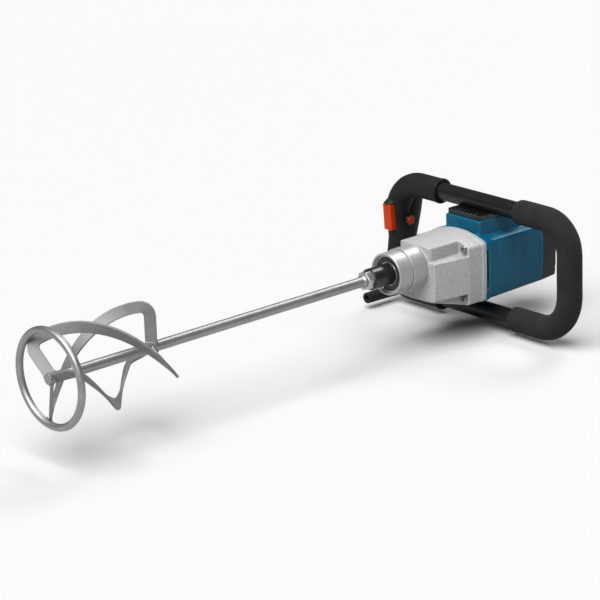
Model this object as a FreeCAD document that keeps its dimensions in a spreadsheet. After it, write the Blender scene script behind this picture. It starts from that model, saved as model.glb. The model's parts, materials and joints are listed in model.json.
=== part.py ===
import FreeCAD, Part
import math
import os
import Sketcher
from FreeCAD import Placement, Rotation, Vector

# Mixing drill with a stirring paddle, in millimetres.
# X runs along the spindle from the paddle to the motor, Z is up, and the origin is the centre of the
# neck's front face.

# Driving dimensions, each a cell of the sheet
SIZES = {
    "neck_diameter": 60.6,
    "neck_length": 24.0,
    "stage_diameter": 63.6,
    "neck_groove_width": 1.4,
    "neck_groove_depth": 1.0,
    "nose_distance": 54.0,
    "nose_half_width": 43.0,
    "nose_top": 34.4,
    "nose_drop": 48.5,
    "flare_length": 60.0,
    "waist_length": 26.0,
    "flange_length": 8.0,
    "flange_lip": 1.0,
    "body_half_width": 52.6,
    "body_top": 34.0,
    "body_drop": 65.2,
    "arch_radius": 122.0,
    "belly_radius": 500.0,
    "side_radius": 420.0,
    "corner_radius": 5.0,
    "room_corner_radius": 22.0,
    "casting_wall": 5.0,
    "front_wall": 8.0,
    "front_room_half_width": 32.0,
    "front_room_top": 27.5,
    "front_room_drop": 41.0,
    "upper_pocket_floor": 11.0,
    "upper_pocket_wall": 31.0,
    "upper_pocket_skin": 3.0,
    "pocket_clearance": 1.0,
    "lower_pocket_drop": 45.0,
    "pocket_seat_depth": 59.0,
    "housing_screw_edge": 8.1,
    "housing_screw_rise": 21.0,
    "housing_screw_drop": 53.5,
    "housing_screw_head": 9.0,
    "housing_screw_head_length": 5.0,
    "housing_screw_shank": 5.0,
    "housing_screw_length": 53.0,
    "screw_socket": 4.0,
    "screw_socket_depth": 3.0,
    "neck_mouth_diameter": 55.0,
    "neck_mouth_depth": 2.2,
    "front_bearing_diameter": 52.0,
    "front_bearing_width": 15.0,
    "front_bearing_start": 9.0,
    "bearing_race": 5.5,
    "throat_diameter": 40.0,
    "retaining_ring_land": 1.4,
    "retaining_ring_width": 1.6,
    "retaining_ring_height": 2.4,
    "retaining_ring_bite": 0.9,
    "seal_width": 3.0,
    "spindle_diameter": 31.0,
    "spindle_reach": 43.0,
    "spindle_hex": 24.0,
    "spindle_hex_length": 10.3,
    "spindle_seat": 25.0,
    "spindle_gear_seat": 20.0,
    "spindle_gear_seat_start": 36.0,
    "spindle_tail": 8.4,
    "spindle_tail_start": 90.0,
    "thread_diameter": 14.0,
    "thread_depth": 30.0,
    "stud_length": 26.0,
    "running_clearance": 0.05,
    "slide_clearance": 0.4,
    "fit_clearance": 0.1,
    "cut_overrun": 2.0,
    "output_gear_module": 1.5,
    "output_gear_start": 66.0,
    "output_gear_width": 16.0,
    "motor_gear_module": 0.8,
    "motor_gear_gap": 4.0,
    "motor_gear_width": 11.0,
    "gear_backlash": 0.24,
    "key_width": 5.0,
    "key_height": 5.0,
    "key_inset": 2.0,
    "layshaft_diameter": 12.0,
    "layshaft_journal": 8.0,
    "bush_wall": 2.5,
    "plate_inset": 3.0,
    "plate_thickness": 7.0,
    "plate_boss_length": 11.0,
    "plate_boss_wall": 2.0,
    "pinion_hole": 13.0,
    "motor_drop": 14.0,
    "armature_bearing_diameter": 32.0,
    "armature_bearing_width": 10.0,
    "armature_bearing_bore": 12.0,
    "armature_front_boss": 11.0,
    "armature_shaft": 14.0,
    "fan_diameter": 72.0,
    "fan_hub_diameter": 26.0,
    "fan_plate": 2.5,
    "fan_width": 13.0,
    "fan_gap": 2.0,
    "fan_blade_thickness": 2.0,
    "guide_thickness": 3.0,
    "guide_bore": 58.0,
    "stator_diameter": 76.0,
    "stator_bore": 46.6,
    "stator_slot_depth": 9.0,
    "stator_slot_height": 30.0,
    "stator_length": 60.0,
    "stator_start": 34.0,
    "coil_overhang": 3.7,
    "armature_core_diameter": 45.6,
    "armature_slot_width": 3.0,
    "armature_slot_depth": 7.0,
    "commutator_gap": 9.0,
    "commutator_diameter": 32.0,
    "commutator_length": 18.0,
    "rear_bearing_diameter": 26.0,
    "rear_bearing_width": 8.0,
    "rear_bearing_bore": 10.0,
    "housing_length": 122.0,
    "housing_wall": 3.5,
    "housing_taper": 4.6,
    "housing_belly_taper": 0.6,
    "housing_post": 10.0,
    "housing_post_length": 22.0,
    "housing_rib": 5.0,
    "housing_rib_start": 30.0,
    "housing_rib_length": 68.0,
    "rim_proud": 0.5,
    "rim_length": 2.2,
    "vent_width": 4.4,
    "vent_top": 11.0,
    "vent_drop": 45.0,
    "vent_depth": 8.0,
    "vent_arch_half_width": 27.0,
    "pedestal_length": 74.0,
    "pedestal_half_width": 34.5,
    "pedestal_top": 49.0,
    "pedestal_wall": 4.5,
    "pedestal_slope": 14.0,
    "foot_length": 44.0,
    "foot_half_width": 20.0,
    "foot_height": 3.6,
    "module_length": 50.0,
    "module_half_width": 24.0,
    "module_height": 8.0,
    "module_rail": 12.0,
    "module_drop": 5.0,
    "cap_length": 30.0,
    "cap_wall": 3.0,
    "cap_taper": 4.0,
    "cap_slot_width": 3.0,
    "cap_slot_pitch": 8.0,
    "cap_slot_length": 24.0,
    "cap_slot_offset": 18.0,
    "cap_screw_edge": 10.0,
    "cap_screw_rise": 14.5,
    "cap_screw_drop": 49.0,
    "cap_screw_post": 10.0,
    "cap_screw_length": 40.0,
    "bearing_boss_wall": 3.0,
    "brush_plate_thickness": 4.0,
    "brush_plate_bore": 40.0,
    "brush_plate_inset": 1.5,
    "brush_width": 8.0,
    "brush_height": 6.0,
    "brush_length": 17.0,
    "brush_holder_wall": 1.2,
    "brush_holder_gap": 2.0,
    "brush_holder_length": 19.0,
    "pedestal_start": 5.0,
    "tube_diameter": 26.4,
    "tube_wall": 2.0,
    "upper_saddle_seat": 3.1,
    "lower_saddle_thickness": 15.0,
    "frame_half_width": 173.5,
    "frame_upper_bend": 44.0,
    "frame_lower_bend": 56.0,
    "handle_upper_bend": 50.0,
    "tube_end": 112.0,
    "saddle_length": 66.0,
    "saddle_half_width": 33.0,
    "saddle_height": 7.5,
    "saddle_rib_width": 3.0,
    "saddle_rib_pitch": 8.0,
    "saddle_rib_depth": 1.5,
    "lower_saddle_length": 14.0,
    "lower_saddle_half_width": 9.0,
    "lower_saddle_shift": 11.0,
    "lower_saddle_wrap": 6.0,
    "frame_screw_spread": 5.5,
    "frame_screw_head": 8.0,
    "frame_screw_head_length": 4.0,
    "frame_screw_shank": 5.0,
    "frame_screw_grip": 4.0,
    "foam_diameter": 37.0,
    "foam_top_start": 75.0,
    "foam_bottom_start": 64.5,
    "sleeve_diameter": 36.0,
    "sleeve_end": 77.0,
    "sleeve_lip": 0.7,
    "sleeve_lip_length": 6.0,
    "handle_lower_bend": 28.0,
    "grip_wall": 3.0,
    "grip_top_gap": 19.3,
    "grip_top_shift": 18.0,
    "grip_top_depth": 58.0,
    "grip_top_width": 38.0,
    "grip_trigger_level": 8.0,
    "grip_trigger_shift": 14.0,
    "grip_trigger_depth": 54.0,
    "grip_trigger_width": 37.0,
    "grip_waist_drop": 24.0,
    "grip_waist_shift": 8.0,
    "grip_waist_depth": 47.0,
    "grip_waist_width": 36.0,
    "grip_distance": 171.8,
    "grip_bottom_shift": -2.5,
    "grip_bottom_depth": 40.0,
    "grip_bottom_width": 37.0,
    "shoulder_sink": 0.4,
    "shoulder_lap": 2.0,
    "hood_base": 33.0,
    "hood_top": 44.0,
    "hood_reach": 27.0,
    "hood_depth": 30.0,
    "hood_width": 22.0,
    "hood_top_reach": 12.0,
    "hood_top_depth": 24.0,
    "hood_top_width": 12.0,
    "trigger_reach": 24.0,
    "trigger_toe_reach": 21.5,
    "trigger_waist_reach": 22.5,
    "trigger_rear": 4.0,
    "trigger_width": 15.6,
    "trigger_top": 32.0,
    "trigger_bottom": -8.0,
    "trigger_waist_level": 10.0,
    "trigger_lip": 2.5,
    "trigger_lip_height": 3.0,
    "trigger_lip_place": 7.4,
    "switch_front": 3.0,
    "switch_length": 20.0,
    "switch_width": 17.0,
    "switch_bottom": -8.0,
    "switch_height": 46.0,
    "switch_rest_height": 26.0,
    "switch_rest_width": 8.0,
    "lock_diameter": 12.0,
    "lock_shift": 6.0,
    "lock_level": 5.0,
    "lock_reach": 3.0,
    "lock_length": 9.0,
    "lock_bezel_diameter": 17.0,
    "lock_bezel_reach": 1.6,
    "lock_bezel_depth": 3.0,
    "shell_post": 9.0,
    "shell_screw_head": 6.5,
    "shell_screw_head_length": 3.5,
    "shell_screw_shank": 3.5,
    "shell_screw_length": 20.0,
    "shell_screw_high_inset": 24.5,
    "shell_screw_high_gap": 18.3,
    "shell_screw_low_drop": 44.0,
    "shell_screw_base_inset": 17.5,
    "shell_screw_base_gap": 7.0,
    "cord_sleeve_reach": 68.0,
    "cord_sleeve_offset": 6.0,
    "cord_sleeve_tip": 16.2,
    "cord_sleeve_root": 18.0,
    "cord_sleeve_bore": 8.4,
    "cord_sleeve_flange_length": 4.0,
    "cord_sleeve_inset": 7.0,
    "cord_sleeve_groove": 1.2,
    "cord_sleeve_groove_pitch": 7.0,
    "paddle_reach": 594.0,
    "paddle_diameter": 140.0,
    "ring_bar": 10.4,
    "shaft_diameter": 14.7,
    "shaft_end": 5.0,
    "collar_diameter": 19.0,
    "collar_length": 5.0,
    "collar_cone": 3.0,
    "blade_width": 16.0,
    "blade_thickness": 3.6,
    "blade_radius": 65.0,
    "blade_bend": 13.9,
    "blade_length": 165.0,
    "blade_front_gap": 3.1,
    "blade_root": 4.0,
}

# Shape values without a length
OUTPUT_TEETH = 34
LAYSHAFT_TEETH = 10
LAYSHAFT_GEAR_TEETH = 50
MOTOR_TEETH = 10
HEX_CORNERS = 6
HEX_STEP = 360.0 / HEX_CORNERS
PRESSURE_ANGLE = 25.0
ADDENDUM_SHARE = 0.8
DEDENDUM_SHARE = 1.05
FLANK_STEPS = 5
SPINDLE_HEX_TURN = 17.0
BLADE_COUNT = 3
BLADE_REAR_ANGLE = -0.8
BLADE_TWIST = 171.1
BLADE_BEND_STEPS = 5
BLADE_HELIX_STEPS = 18
FAN_BLADES = 11
ARMATURE_SLOTS = 12
BALL_COUNT = 9
CAP_SLOTS = 3
SADDLE_RIBS = 6
CORD_GROOVES = 6

doc = FreeCAD.newDocument("MixingDrill")
sheet = doc.addObject("Spreadsheet::Sheet", "Sizes")


class Size:
    """A length together with the sheet expression that gives it."""

    def __init__(self, value, text):
        self.value = value
        self.text = text

    def __add__(self, other):
        other = as_size(other)
        return Size(self.value + other.value, "(%s + %s)" % (self.text, other.text))

    def __sub__(self, other):
        other = as_size(other)
        return Size(self.value - other.value, "(%s - %s)" % (self.text, other.text))

    def __mul__(self, other):
        other = as_size(other)
        return Size(self.value * other.value, "(%s * %s)" % (self.text, other.text))

    def __truediv__(self, other):
        other = as_size(other)
        return Size(self.value / other.value, "(%s / %s)" % (self.text, other.text))

    def __neg__(self):
        return Size(-self.value, "(-1 * %s)" % self.text)


def as_size(item):
    """A plain number becomes a size with no cell."""
    if isinstance(item, Size):
        return item
    return Size(float(item), repr(float(item)))


class Sheet:
    """The sheet's cells as sizes, by alias."""


size = Sheet()
for row, (alias, number) in enumerate(SIZES.items(), start=1):
    sheet.set("A%d" % row, alias)
    sheet.set("B%d" % row, str(number))
    sheet.setAlias("B%d" % row, alias)
    setattr(size, alias, Size(number, "Sizes.%s" % alias))
doc.recompute()

ZERO = as_size(0)
exported = []


def bind(item, name, value):
    """Bind one property to the sheet."""
    item.setExpression(name, as_size(value).text)


def put(item, x=ZERO, y=ZERO, z=ZERO, rotation=None):
    """Place an object at sheet positions."""
    item.Placement = Placement(Vector(x.value, y.value, z.value), rotation or Rotation())
    bind(item, "Placement.Base.x", x)
    bind(item, "Placement.Base.y", y)
    bind(item, "Placement.Base.z", z)
    return item


def export(item, label):
    """Name a finished piece and keep it for its file."""
    item.Label = label
    exported.append(item)
    return item


ALONG_X = Rotation(Vector(0, 1, 0), 90)
ALONG_Y = Rotation(Vector(1, 0, 0), -90)
TURN_BACK = Rotation(Vector(0, 0, 1), 180)
ALONG_X_UP = Rotation(Vector(0, 1, 0), Vector(0, 0, 1), Vector(1, 0, 0))
ALONG_X_DOWN = Rotation(Vector(0, 0, -1), Vector(0, 1, 0), Vector(1, 0, 0))
X_TO_UP = Rotation(Vector(0, 1, 0), -90)
X_TO_DOWN = Rotation(Vector(0, 1, 0), 90)


# Sketch helpers

def new_body(name):
    return doc.addObject("PartDesign::Body", name)


def new_sketch(body, role, offset=ZERO):
    """A sketch on an origin plane of its body, moved along the plane's normal."""
    sketch = body.newObject("Sketcher::SketchObject", "Outline")
    planes = [item for item in body.Origin.OriginFeatures if item.Role == role]
    sketch.AttachmentSupport = [(planes[0], "")]
    sketch.MapMode = "FlatFace"
    sketch.AttachmentOffset = Placement(Vector(0, 0, offset.value), Rotation())
    bind(sketch, "AttachmentOffset.Base.z", offset)
    return sketch


def pin(sketch, edge, point, x, y):
    """Hold one point of a sketch at sheet positions."""
    for kind, axis, value in (("DistanceX", -2, x), ("DistanceY", -1, y)):
        if value.value == 0 and value.text == ZERO.text:
            sketch.addConstraint(Sketcher.Constraint("PointOnObject", edge, point, axis))
            continue
        index = sketch.addConstraint(Sketcher.Constraint(kind, -1, 1, edge, point, value.value))
        bind(sketch, "Constraints[%d]" % index, value)


def draw(sketch, points):
    """A closed outline of straight edges."""
    first = sketch.GeometryCount
    count = len(points)
    for index, (x, y) in enumerate(points):
        next_x, next_y = points[(index + 1) % count]
        start = Vector(x.value, y.value, 0)
        end = Vector(next_x.value, next_y.value, 0)
        sketch.addGeometry(Part.LineSegment(start, end), False)
    for index in range(count):
        following = first + (index + 1) % count
        sketch.addConstraint(Sketcher.Constraint("Coincident", first + index, 2, following, 1))
    for index, (x, y) in enumerate(points):
        pin(sketch, first + index, 1, x, y)


def rectangle(sketch, left, right, low, high):
    draw(sketch, [(left, low), (right, low), (right, high), (left, high)])


def ring(sketch, x, y, radius):
    """A circle at a sheet position."""
    circle = Part.Circle(Vector(x.value, y.value, 0), Vector(0, 0, 1), radius.value)
    index = sketch.addGeometry(circle, False)
    pin(sketch, index, 3, x, y)
    held = sketch.addConstraint(Sketcher.Constraint("Radius", index, radius.value))
    bind(sketch, "Constraints[%d]" % held, radius)


def hexagon(across, turn=0.0):
    """The corners of a hexagon across its flats, which face sideways unless it is turned."""
    corner = across / math.sqrt(3)
    angles = [math.radians(turn + HEX_STEP * (index + 1 / 2)) for index in range(HEX_CORNERS)]
    return [(corner * math.cos(angle), corner * math.sin(angle)) for angle in angles]


def bowed(sketch, half_width, top, drop, corner):
    """A casing section with arched top, bowed belly and sides, and round corners."""
    arch = size.arch_radius
    belly = size.belly_radius
    side = size.side_radius
    middle = (top - drop) / 2
    big = [(ZERO, top - arch, arch, 90), (side - half_width, middle, side, 180),
           (ZERO, belly - drop, belly, 270), (half_width - side, middle, side, 0)]
    corners = []
    for index in range(4):
        ax, ay, ar = [item.value for item in big[index][:3]]
        bx, by, br = [item.value for item in big[(index + 1) % 4][:3]]
        far_a = ar - corner.value
        far_b = br - corner.value
        gap = math.hypot(bx - ax, by - ay)
        along = (far_a ** 2 - far_b ** 2 + gap ** 2) / (2 * gap)
        height = math.sqrt(far_a ** 2 - along ** 2)
        ux = (bx - ax) / gap
        uy = (by - ay) / gap
        options = [(ax + ux * along - uy * sign * height, ay + uy * along + ux * sign * height)
                   for sign in (1, -1)]
        heading = math.radians(big[index][3] + 45)
        options.sort(key=lambda p: p[0] * math.cos(heading) + p[1] * math.sin(heading))
        corners.append(options[-1])
    arcs = []
    for index in range(4):
        ax, ay, ar = [item.value for item in big[index][:3]]
        before = corners[index - 1]
        after = corners[index]
        start = math.atan2(before[1] - ay, before[0] - ax)
        end = math.atan2(after[1] - ay, after[0] - ax)
        circle = Part.Circle(Vector(ax, ay, 0), Vector(0, 0, 1), ar)
        arcs.append(sketch.addGeometry(Part.ArcOfCircle(circle, start, end), False))
        bx, by, br = [item.value for item in big[(index + 1) % 4][:3]]
        turn = math.atan2(after[1] - by, after[0] - bx)
        round_circle = Part.Circle(Vector(after[0], after[1], 0), Vector(0, 0, 1), corner.value)
        arcs.append(sketch.addGeometry(Part.ArcOfCircle(round_circle, end, turn), False))
    for index in range(8):
        following = arcs[(index + 1) % 8]
        sketch.addConstraint(Sketcher.Constraint("Tangent", arcs[index], 2, following, 1))
    for index in range(4):
        edge = arcs[2 * index]
        pin(sketch, edge, 3, big[index][0], big[index][1])
        held = sketch.addConstraint(Sketcher.Constraint("Radius", edge, big[index][2].value))
        bind(sketch, "Constraints[%d]" % held, big[index][2])
        rounded = arcs[2 * index + 1]
        held = sketch.addConstraint(Sketcher.Constraint("Radius", rounded, corner.value))
        bind(sketch, "Constraints[%d]" % held, corner)


# Feature helpers

def pad(body, sketch, length):
    feature = body.newObject("PartDesign::Pad", "Pad")
    feature.Profile = sketch
    feature.Length = length.value
    bind(feature, "Length", length)
    return feature


def pocket(body, sketch, length):
    """A cut that runs along the sketch's normal."""
    feature = body.newObject("PartDesign::Pocket", "Pocket")
    feature.Profile = sketch
    feature.Reversed = True
    feature.Length = length.value
    bind(feature, "Length", length)
    return feature


def revolve(body, sketch, kind="PartDesign::Revolution"):
    feature = body.newObject(kind, "Turned")
    feature.Profile = sketch
    feature.ReferenceAxis = (sketch, ["H_Axis"])
    feature.Angle = 360
    return feature


def loft(body, first, second, kind="PartDesign::AdditiveLoft"):
    feature = body.newObject(kind, "Loft")
    feature.Profile = first
    feature.Sections = [second]
    feature.Ruled = True
    return feature


def turned(name, points, y=ZERO, z=ZERO):
    """A piece turned about a line along X."""
    body = new_body(name)
    sketch = new_sketch(body, "XZ_Plane")
    draw(sketch, points)
    revolve(body, sketch)
    put(body, ZERO, y, z)
    return body


def tube_points(start, end, inner, outer):
    return [(start, inner), (end, inner), (end, outer), (start, outer)]


def box(name, x, y, z, length, width, height):
    """A block from its low corner."""
    item = doc.addObject("Part::Box", name)
    for prop, value in (("Length", length), ("Width", width), ("Height", height)):
        bind(item, prop, value)
    return put(item, x, y, z)


def rod(name, radius, length, x, y, z, rotation):
    """A cylinder from its first end."""
    item = doc.addObject("Part::Cylinder", name)
    bind(item, "Radius", radius)
    bind(item, "Height", length)
    return put(item, x, y, z, rotation)


def cut(name, base, tools):
    """A base less its tools."""
    tool = tools[0] if len(tools) == 1 else fuse(name + "_tools", tools)
    result = doc.addObject("Part::Cut", name)
    result.Base = base
    result.Tool = tool
    result.Refine = False
    return result


def fuse(name, items):
    result = doc.addObject("Part::MultiFuse", name)
    result.Shapes = items
    return result


def common(name, base, tool):
    result = doc.addObject("Part::Common", name)
    result.Base = base
    result.Tool = tool
    result.Refine = False
    return result


def group(name, items):
    """Several equal pieces in one file."""
    result = doc.addObject("Part::Compound", name)
    result.Links = items
    return result


def screw(name, head, head_length, shank, length):
    """A socket screw along X with its head's face at the origin."""
    body = new_body(name)
    sketch = new_sketch(body, "XZ_Plane")
    draw(sketch, [(ZERO, ZERO), (head_length + length, ZERO), (head_length + length, shank / 2),
                  (head_length, shank / 2), (head_length, head / 2), (ZERO, head / 2)])
    revolve(body, sketch)
    socket = new_sketch(body, "YZ_Plane")
    draw(socket, hexagon(size.screw_socket * head / size.housing_screw_head))
    pocket(body, socket, size.screw_socket_depth * head / size.housing_screw_head)
    return body


# Stations along X

nose_x = size.nose_distance
flare_end = nose_x + size.flare_length
flange_x = flare_end + size.waist_length
joint_x = flange_x + size.flange_length
housing_end = joint_x + size.housing_length
cap_end = housing_end + size.cap_length
handle_x = joint_x + size.pedestal_start + size.pedestal_length / 2
foot_drop = size.body_drop + size.foot_height
tube_drop = foot_drop + size.lower_saddle_thickness + size.tube_diameter / 2
tube_top = size.pedestal_top + size.upper_saddle_seat + size.tube_diameter / 2
cord_drop = tube_drop + size.cord_sleeve_offset
motor_z = -size.motor_drop
pocket_seat = nose_x + size.pocket_seat_depth
room_x = nose_x + size.front_wall
plate_x = joint_x - size.plate_thickness - size.plate_inset
plate_end = plate_x + size.plate_thickness

# Gear centres: the layshaft stands beside the spindle and the armature

output_distance = size.output_gear_module * (OUTPUT_TEETH + LAYSHAFT_TEETH) / 2
motor_distance = size.motor_gear_module * (LAYSHAFT_GEAR_TEETH + MOTOR_TEETH) / 2
lay_z_value = ((motor_distance.value ** 2 - output_distance.value ** 2 - size.motor_drop.value ** 2)
               / (2 * size.motor_drop.value))
lay_z = Size(lay_z_value, "((%s ^ 2 - %s ^ 2 - %s ^ 2) / (2 * %s))" % (
    motor_distance.text, output_distance.text, size.motor_drop.text, size.motor_drop.text))
lay_y = Size(math.sqrt(output_distance.value ** 2 - lay_z_value ** 2),
             "sqrt(%s ^ 2 - %s ^ 2)" % (output_distance.text, lay_z.text))


# Gear teeth

def gear_face(module, teeth, centre_angle, backlash, on_tooth):
    """An involute gear's face across X, with a tooth or a gap at the centre angle."""
    pitch = module * teeth / 2
    base = pitch * math.cos(math.radians(PRESSURE_ANGLE))
    tip = pitch + ADDENDUM_SHARE * module
    root = pitch - DEDENDUM_SHARE * module
    half_tooth = math.pi / (2 * teeth) - backlash / (4 * pitch)
    spread = math.tan(math.radians(PRESSURE_ANGLE)) - math.radians(PRESSURE_ANGLE)
    low = max(base, root)
    flank = []
    for step in range(FLANK_STEPS):
        radius = low + (tip - low) * step / (FLANK_STEPS - 1)
        lean = math.acos(min(1.0, base / radius))
        flank.append((radius, half_tooth + spread - (math.tan(lean) - lean)))
    if root < base:
        flank.insert(0, (root, flank[0][1]))
    pitch_angle = 2 * math.pi / teeth
    start = centre_angle if on_tooth else centre_angle + pitch_angle / 2
    points = []
    for tooth in range(teeth):
        middle = start + tooth * pitch_angle
        outline = [(radius, middle - angle) for radius, angle in flank]
        outline += [(radius, middle + angle) for radius, angle in reversed(flank)]
        points += [Vector(0, r * math.cos(a), r * math.sin(a)) for r, a in outline]
    points.append(points[0])
    return Part.Face(Part.makePolygon(points))


def gear(name, module, teeth, start, width, y, z, angle, on_tooth):
    """A toothed blank along X."""
    face = gear_face(module.value, teeth, angle, size.gear_backlash.value, on_tooth)
    item = doc.addObject("Part::Feature", name)
    item.Shape = face.extrude(Vector(width.value, 0, 0))
    return put(item, start, y, z)


lay_angle = math.atan2(lay_z.value, lay_y.value)
motor_angle = math.atan2(motor_z.value - lay_z.value, -lay_y.value)


# Gearbox casting with neck, flared body, flange and screw pockets

def casing_sketch(body, x, half_width, top, drop, corner):
    sketch = new_sketch(body, "YZ_Plane", x)
    bowed(sketch, half_width, top, drop, corner)
    return sketch


casting = new_body("CastingSolid")
nose = casing_sketch(casting, nose_x, size.nose_half_width, size.nose_top, size.nose_drop,
                     size.corner_radius)
wide = casing_sketch(casting, flare_end, size.body_half_width, size.body_top, size.body_drop,
                     size.corner_radius)
loft(casting, nose, wide)
waist = casing_sketch(casting, flare_end, size.body_half_width, size.body_top, size.body_drop,
                      size.corner_radius)
pad(casting, waist, size.waist_length)
lip = casing_sketch(casting, flange_x, size.body_half_width + size.flange_lip,
                    size.body_top + size.flange_lip, size.body_drop + size.flange_lip,
                    size.corner_radius + size.flange_lip)
pad(casting, lip, size.flange_length)
stage_x = size.neck_length + size.neck_groove_width
groove_floor = size.neck_diameter / 2 - size.neck_groove_depth
neck = new_sketch(casting, "XZ_Plane")
draw(neck, [(ZERO, ZERO), (room_x, ZERO), (room_x, size.stage_diameter / 2),
            (stage_x, size.stage_diameter / 2), (stage_x, groove_floor), (size.neck_length, groove_floor),
            (size.neck_length, size.neck_diameter / 2), (ZERO, size.neck_diameter / 2)])
revolve(casting, neck)
rear_room = casing_sketch(casting, pocket_seat + size.casting_wall, size.body_half_width - size.casting_wall,
                          size.body_top - size.casting_wall, size.body_drop - size.casting_wall,
                          size.room_corner_radius)
pocket(casting, rear_room, joint_x - pocket_seat)
front_room = new_sketch(casting, "YZ_Plane", room_x)
upper_room = size.upper_pocket_wall - size.upper_pocket_skin
room_step = size.upper_pocket_floor - size.casting_wall
draw(front_room, [(-size.front_room_half_width, -size.front_room_drop),
                  (size.front_room_half_width, -size.front_room_drop),
                  (size.front_room_half_width, room_step), (upper_room, room_step),
                  (upper_room, size.front_room_top), (-upper_room, size.front_room_top),
                  (-upper_room, room_step), (-size.front_room_half_width, room_step)])
pocket(casting, front_room, size.pocket_seat_depth)
plate_room = casing_sketch(casting, plate_x, size.body_half_width - size.plate_inset,
                           size.body_top - size.plate_inset, size.body_drop - size.plate_inset,
                           size.room_corner_radius)
pocket(casting, plate_room, joint_x - plate_x + size.cut_overrun)
bearing_end = size.front_bearing_start + size.front_bearing_width
bore = new_sketch(casting, "XZ_Plane")
draw(bore, [(-size.cut_overrun, ZERO), (room_x + size.cut_overrun, ZERO),
            (room_x + size.cut_overrun, size.throat_diameter / 2), (bearing_end, size.throat_diameter / 2),
            (bearing_end, size.front_bearing_diameter / 2),
            (size.neck_mouth_depth, size.front_bearing_diameter / 2),
            (size.neck_mouth_depth, size.neck_mouth_diameter / 2),
            (-size.cut_overrun, size.neck_mouth_diameter / 2)])
revolve(casting, bore, "PartDesign::Groove")
ring_groove_x = size.neck_mouth_depth + size.retaining_ring_land
seal_x = ring_groove_x + size.retaining_ring_width
groove_top = size.front_bearing_diameter / 2 + size.retaining_ring_bite
ring_groove = new_sketch(casting, "XZ_Plane")
draw(ring_groove, tube_points(ring_groove_x, ring_groove_x + size.retaining_ring_width,
                              size.throat_diameter / 2, groove_top))
revolve(casting, ring_groove, "PartDesign::Groove")

casting_cuts = []
pocket_end = size.body_half_width + size.cut_overrun
for side, low in (("left", size.upper_pocket_wall), ("right", -pocket_end)):
    casting_cuts.append(box("UpperPocket_" + side, nose_x - size.cut_overrun, low, size.upper_pocket_floor,
                            pocket_seat - nose_x + size.cut_overrun, pocket_end - size.upper_pocket_wall,
                            size.body_top))
housing_screw_spread = size.body_half_width - size.housing_screw_edge
lower_pocket_wall = housing_screw_spread - size.housing_screw_head / 2 - size.pocket_clearance
for side, low in (("left", lower_pocket_wall), ("right", -pocket_end)):
    casting_cuts.append(box("LowerPocket_" + side, nose_x - size.cut_overrun, low,
                            -(size.body_drop + size.cut_overrun),
                            pocket_seat - nose_x + size.cut_overrun, pocket_end - lower_pocket_wall,
                            size.body_drop + size.cut_overrun - size.lower_pocket_drop))
housing_screw_places = [(housing_screw_spread, size.housing_screw_rise),
                        (-housing_screw_spread, size.housing_screw_rise),
                        (housing_screw_spread, -size.housing_screw_drop),
                        (-housing_screw_spread, -size.housing_screw_drop)]
for index, (y, z) in enumerate(housing_screw_places):
    casting_cuts.append(rod("ScrewHole%d" % index, size.housing_screw_shank / 2 + size.fit_clearance,
                            joint_x - pocket_seat + size.cut_overrun * 2, pocket_seat - size.cut_overrun,
                            y, z, ALONG_X))
bush_radius = size.layshaft_journal / 2 + size.bush_wall
bush_depth = size.front_wall * 0.75
casting_cuts.append(rod("BushSeat", bush_radius, bush_depth + size.cut_overrun, room_x - bush_depth,
                        lay_y, lay_z, ALONG_X))
export(cut("GearboxHousing", casting, casting_cuts), "gearbox_housing")

# Housing screws in the four pockets

housing_screws = []
for index, (y, z) in enumerate(housing_screw_places):
    item = screw("HousingScrew%d" % index, size.housing_screw_head, size.housing_screw_head_length,
                 size.housing_screw_shank, size.housing_screw_length)
    housing_screws.append(put(item, pocket_seat - size.housing_screw_head_length, y, z))
export(group("HousingScrews", housing_screws), "gearbox_screws")

# Spindle bearing, seal and retaining ring in the neck


def ball_bearing(name, start, width, inner, outer, y, z):
    """Two races with a row of balls between them."""
    race = size.bearing_race * (outer - inner) / (size.front_bearing_diameter - size.spindle_seat)
    inner_ring = turned(name + "Inner", tube_points(start, start + width, inner / 2, inner / 2 + race), y, z)
    outer_ring = turned(name + "Outer", tube_points(start, start + width, outer / 2 - race, outer / 2), y, z)
    middle = (inner + outer) / 4
    balls = []
    gap = (outer - inner) / 2 - race * 2
    for index in range(BALL_COUNT):
        angle = 2 * math.pi * index / BALL_COUNT
        ball = doc.addObject("Part::Sphere", "%sBall%d" % (name, index))
        bind(ball, "Radius", gap / 2)
        put(ball, start + width / 2, y + middle * math.cos(angle), z + middle * math.sin(angle))
        balls.append(ball)
    return group(name, [inner_ring, outer_ring] + balls)


front_bearing = ball_bearing("FrontBearing", size.front_bearing_start, size.front_bearing_width,
                             size.spindle_seat + size.running_clearance * 2, size.front_bearing_diameter,
                             ZERO, ZERO)
export(front_bearing, "spindle_front_bearing")
seal = turned("Seal", tube_points(seal_x, seal_x + size.seal_width,
                                  size.spindle_diameter / 2 + size.running_clearance,
                                  size.front_bearing_diameter / 2))
export(seal, "spindle_seal")
circlip = turned("Circlip", tube_points(ring_groove_x, ring_groove_x + size.retaining_ring_width,
                                        groove_top - size.retaining_ring_height, groove_top))
export(circlip, "spindle_retaining_ring")

# Bearing plate that closes the gearbox

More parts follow.
